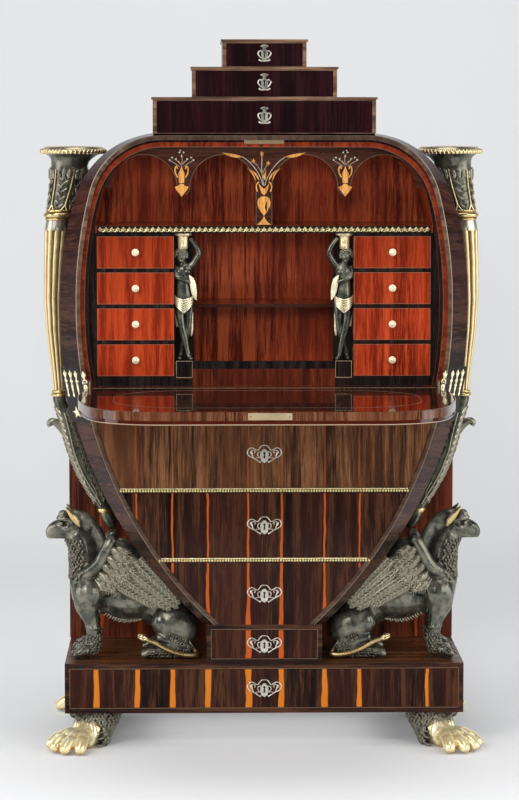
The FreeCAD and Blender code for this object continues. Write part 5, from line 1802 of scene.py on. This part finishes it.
def cant_spot(share, z):
    """Place on the canted edge, a share of the way from its front to its rear."""
    return edge_spot(FRONT_OVAL, z, 0.0).lerp(edge_spot(REAR_OVAL, z, CANT_DEPTH), share)


def mount_frame(place, along, across):
    """Matrix that lays an upright mount on a surface."""
    along = along.normalized()
    inwards = along.cross(across).normalized()
    out = Matrix((inwards.cross(along), inwards, along)).transposed().to_4x4()
    out.translation = place
    return out


def build_mounts():
    """Gilt palmettes beside the fall and the star below them, on a black ground that widens the cant."""
    form, ground = Form(), Form()
    across = cant_spot(1.0, 0.75) - cant_spot(0.0, 0.75)
    out = Vector((across.y, -across.x, 0)).normalized()
    rings = []
    for z in levels_between(0.696, 0.8125, 12):
        front, rear = cant_spot(0.02, z), cant_spot(1.22, z)
        behind = Vector((cant_spot(1.0, z).x - 0.006, rear.y, z))
        rings.append((front + out * MM, rear + out * MM, behind, front - out * 4 * MM))
    ground.rings(rings)
    middle = [edge_spot(FRONT_OVAL, z, -0.0021, 0.0047) for z in (0.736, 0.808)]
    form.place(tall_palmette(), mount_frame(middle[0], middle[1] - middle[0], Vector((1, 0, 0))))
    taller = Matrix.Diagonal((1, 1, 1.24, 1))
    for share in (0.32, 0.66, 1.0):
        low, high = (cant_spot(share, z) + out * MM for z in (0.7495, 0.808))
        form.place(slim_palmette(), mount_frame(low, high - low, across) @ taller)
    star = []
    for k, turn in enumerate(turns(10)):
        radius = (5.4 if k % 2 else 14) * MM
        star.append((radius * sin(turn), radius * cos(turn)))
    upwards = cant_spot(0.7, 0.726) - cant_spot(0.7, 0.706)
    star_place = mount_frame(cant_spot(0.72, 0.717) + out * MM, upwards, across)
    form.place(flat_plate([star], 0.0026, 0.0010), star_place)
    for name, side in zip(SIDES, (MIRROR, IDENTITY)):
        piece("palmettes_" + name, form.put(side), BRIGHT_GILT, sharp=50)
        piece("mount_ground_" + name, ground.put(side), BLACK_WOOD, sharp=50)


def build_lines():
    """Pale lines round the lower drawers and on the small ones."""
    lines = Form()
    gap = 0.0016
    for name in ("plinth_drawer", "waist_drawer"):
        low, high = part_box(name)
        square_lines(lines, low.x - gap, high.x + gap, low.z - gap, high.z + gap, FRONT, VENEER)
    piece("drawer_stringing", lines, DIM_LINE)
    for spot in SMALL_DRAWERS:
        body = "small_drawer_" + spot
        low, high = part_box(body)
        lines = Form()
        square_lines(lines, low.x + MM, high.x - MM, low.z + MM, high.z - MM, INTERIOR, VENEER)
        piece("line_" + body, lines, DIM_LINE, body)


def build_interior_trim():
    """Black foot of nests, pedestals and niche floor, the riser below and the nosing of the niche shelf."""
    foot, riser, nosing = Form(), Form(), Form()
    nest_low, nest_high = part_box("drawer_nest_right")
    steps = ((NEST_INNER, nest_high.x + 0.005, nest_low.z + 0.0036),
             (NICHE_HALF, NEST_INNER + 0.0005, figure_low.z - 0.0004))
    for hand in (-1, 1):
        for inner, outer, level in steps:
            left, right = sorted((hand * inner, hand * outer))
            block(foot, (left, INTERIOR - 0.0006, WRITING + 0.0004), (right, INTERIOR + 0.0004, level))
    top = figure_low.z + PEDESTAL
    block(foot, (-NICHE_HALF, INTERIOR - 0.0008, top - 0.017), (NICHE_HALF, INTERIOR + 0.012, top - 0.001))
    piece("nest_foot", foot, BLACK_WOOD)
    block(riser, (-NICHE_HALF, INTERIOR - 0.0005, WRITING + 0.0006),
          (NICHE_HALF, INTERIOR + 0.012, top - 0.0168))
    piece("niche_riser", riser, RISER_WOOD)
    shelf_y = FRONT + NICHE_SHELF_DEPTH
    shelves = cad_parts["interior_shelves"].data.vertices
    levels = [v.co.z for v in shelves if abs(v.co.y - shelf_y) < 0.0001]
    block(nosing, (-NICHE_SHELF_HALF, shelf_y - 0.0004, min(levels)),
          (NICHE_SHELF_HALF, shelf_y + 0.0001, max(levels)))
    piece("niche_shelf_nosing", nosing, ARCADE_WOOD)


def build_tier_rails():
    """Veneer on the rails under the tier drawers."""
    rails = Form()
    for level in TIERS:
        low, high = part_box("tier_drawer_" + level)
        block(rails, (low.x, FRONT - 0.0003, low.z - 0.0070), (high.x, FRONT + 0.0002, low.z - 0.0003))
    piece("tier_rails", rails, TIER_DRAWER)


build_escutcheons()
build_knobs()
build_beading()
build_fall()
build_marquetry()
build_mounts()
build_lines()
build_interior_trim()
build_tier_rails()


# Stage, light and camera

CAMERA_PLACE = (-0.1391, -6.4177 + FRONT, 1.3488)
CAMERA_DOWN = radians(5.372)
CAMERA_RIGHT = radians(1.149)
FOCAL_PIXELS = 3052.0
LONG_SIDE_PIXELS = 800.0
BACKDROP_GREY = (0.735, 0.742, 0.752)


def backdrop_material():
    """Pale studio paper, clear from behind so that the back of the desk can be seen."""
    material, tree, shader = new_material("studio_paper")
    spot = node(tree, "TexCoord").outputs["Object"]
    tone = grain_noise(tree, spot, 0.7, 2.0)
    colour = tint(tree, tone, (0.72, 0.722, 0.728), (0.74, 0.742, 0.748))
    feed(tree, shader, {"Base Color": colour, "Roughness": 0.9, "Specular IOR Level": 0.1})
    behind = node(tree, "NewGeometry").outputs["Backfacing"]
    clear = node(tree, "BsdfTransparent").outputs[0]
    sheet = node(tree, "MixShader", {0: behind, 1: shader.outputs[0], 2: clear})
    tree.links.new(sheet.outputs[0], tree.nodes["Material Output"].inputs["Surface"])
    return material


def build_stage():
    """Floor that curves up into a backdrop far behind the desk."""
    wide, front, back, high, bend = 7.0, -3.4, 4.5, 6.0, 2.0
    profile = [(front, 0.0)] + arc(back - bend, bend, bend, -pi / 2, 0.0, 12) + [(back, high)]
    form = Form()
    form.rings([[(-wide, y, z), (wide, y, z)] for y, z in profile], closed=False)
    mesh = form.mesh("studio_paper")
    if mesh.polygons[0].normal.z < 0:
        mesh.flip_normals()
    mesh.shade_smooth()
    mesh.materials.append(backdrop_material())
    lone_object("studio_paper", mesh)


def soft_light(name, place, target, size, power, mirrored=True):
    """Large soft box aimed at a point. One that is not mirrored lights without showing in polished faces."""
    data = bpy.data.lights.new(name, "AREA")
    data.shape = "RECTANGLE"
    data.size, data.size_y = size
    data.energy = power
    obj = lone_object(name, data)
    obj.location = place
    obj.rotation_euler = (Vector(target) - Vector(place)).to_track_quat("-Z", "Y").to_euler()
    obj.visible_glossy = mirrored
    obj.visible_camera = False


def build_light():
    """Soft studio light and a pale surround."""
    world = bpy.data.worlds.new("studio")
    world.use_nodes = True
    bpy.context.scene.world = world
    tree = world.node_tree
    rays = node(tree, "LightPath").outputs
    surround = tint(tree, rays["Is Glossy Ray"], (0.46, 0.47, 0.48), (0.045, 0.047, 0.050))
    shown = tint(tree, rays["Is Camera Ray"], surround, BACKDROP_GREY)
    feed(tree, tree.nodes["Background"], {"Color": shown})
    middle = (0.0, 0.1, 0.75)
    soft_light("key_box", (-2.6, -4.2, 3.4), middle, (2.2, 2.2), 130.0)
    soft_light("fill_box", (3.4, -3.6, 2.2), middle, (2.0, 2.6), 65.0)
    soft_light("top_box", (0.0, -0.8, 4.6), middle, (3.0, 2.0), 60.0)
    soft_light("left_box", (-3.4, -0.6, 1.3), middle, (1.6, 2.6), 40.0)
    soft_light("right_box", (3.4, -0.6, 1.3), middle, (1.6, 2.6), 40.0)
    soft_light("front_fill", (-0.5, -6.6, 2.1), (0.0, 0.1, 1.0), (1.0, 0.8), 125.0, mirrored=False)
    soft_light("floor_fill", (0.0, -3.0, 0.35), (0.0, 0.3, 0.0), (3.0, 0.4), 26.0, mirrored=False)
    soft_light("under_fill", (0.0, FRONT + 0.2, 0.07), (0.0, FRONT + 0.2, 0.0), (0.5, 0.3), 0.31,
               mirrored=False)


def build_camera():
    """Camera at the place and angle of the picture."""
    data = bpy.data.cameras.new("camera")
    data.sensor_width = 36.0
    data.lens = data.sensor_width * FOCAL_PIXELS / LONG_SIDE_PIXELS
    data.clip_end = 100.0
    obj = lone_object("camera", data)
    obj.location = CAMERA_PLACE
    obj.rotation_euler = (pi / 2 - CAMERA_DOWN, 0.0, -CAMERA_RIGHT)
    bpy.context.scene.camera = obj


build_stage()
build_light()
build_camera()
bpy.context.scene.view_settings.view_transform = "Standard"
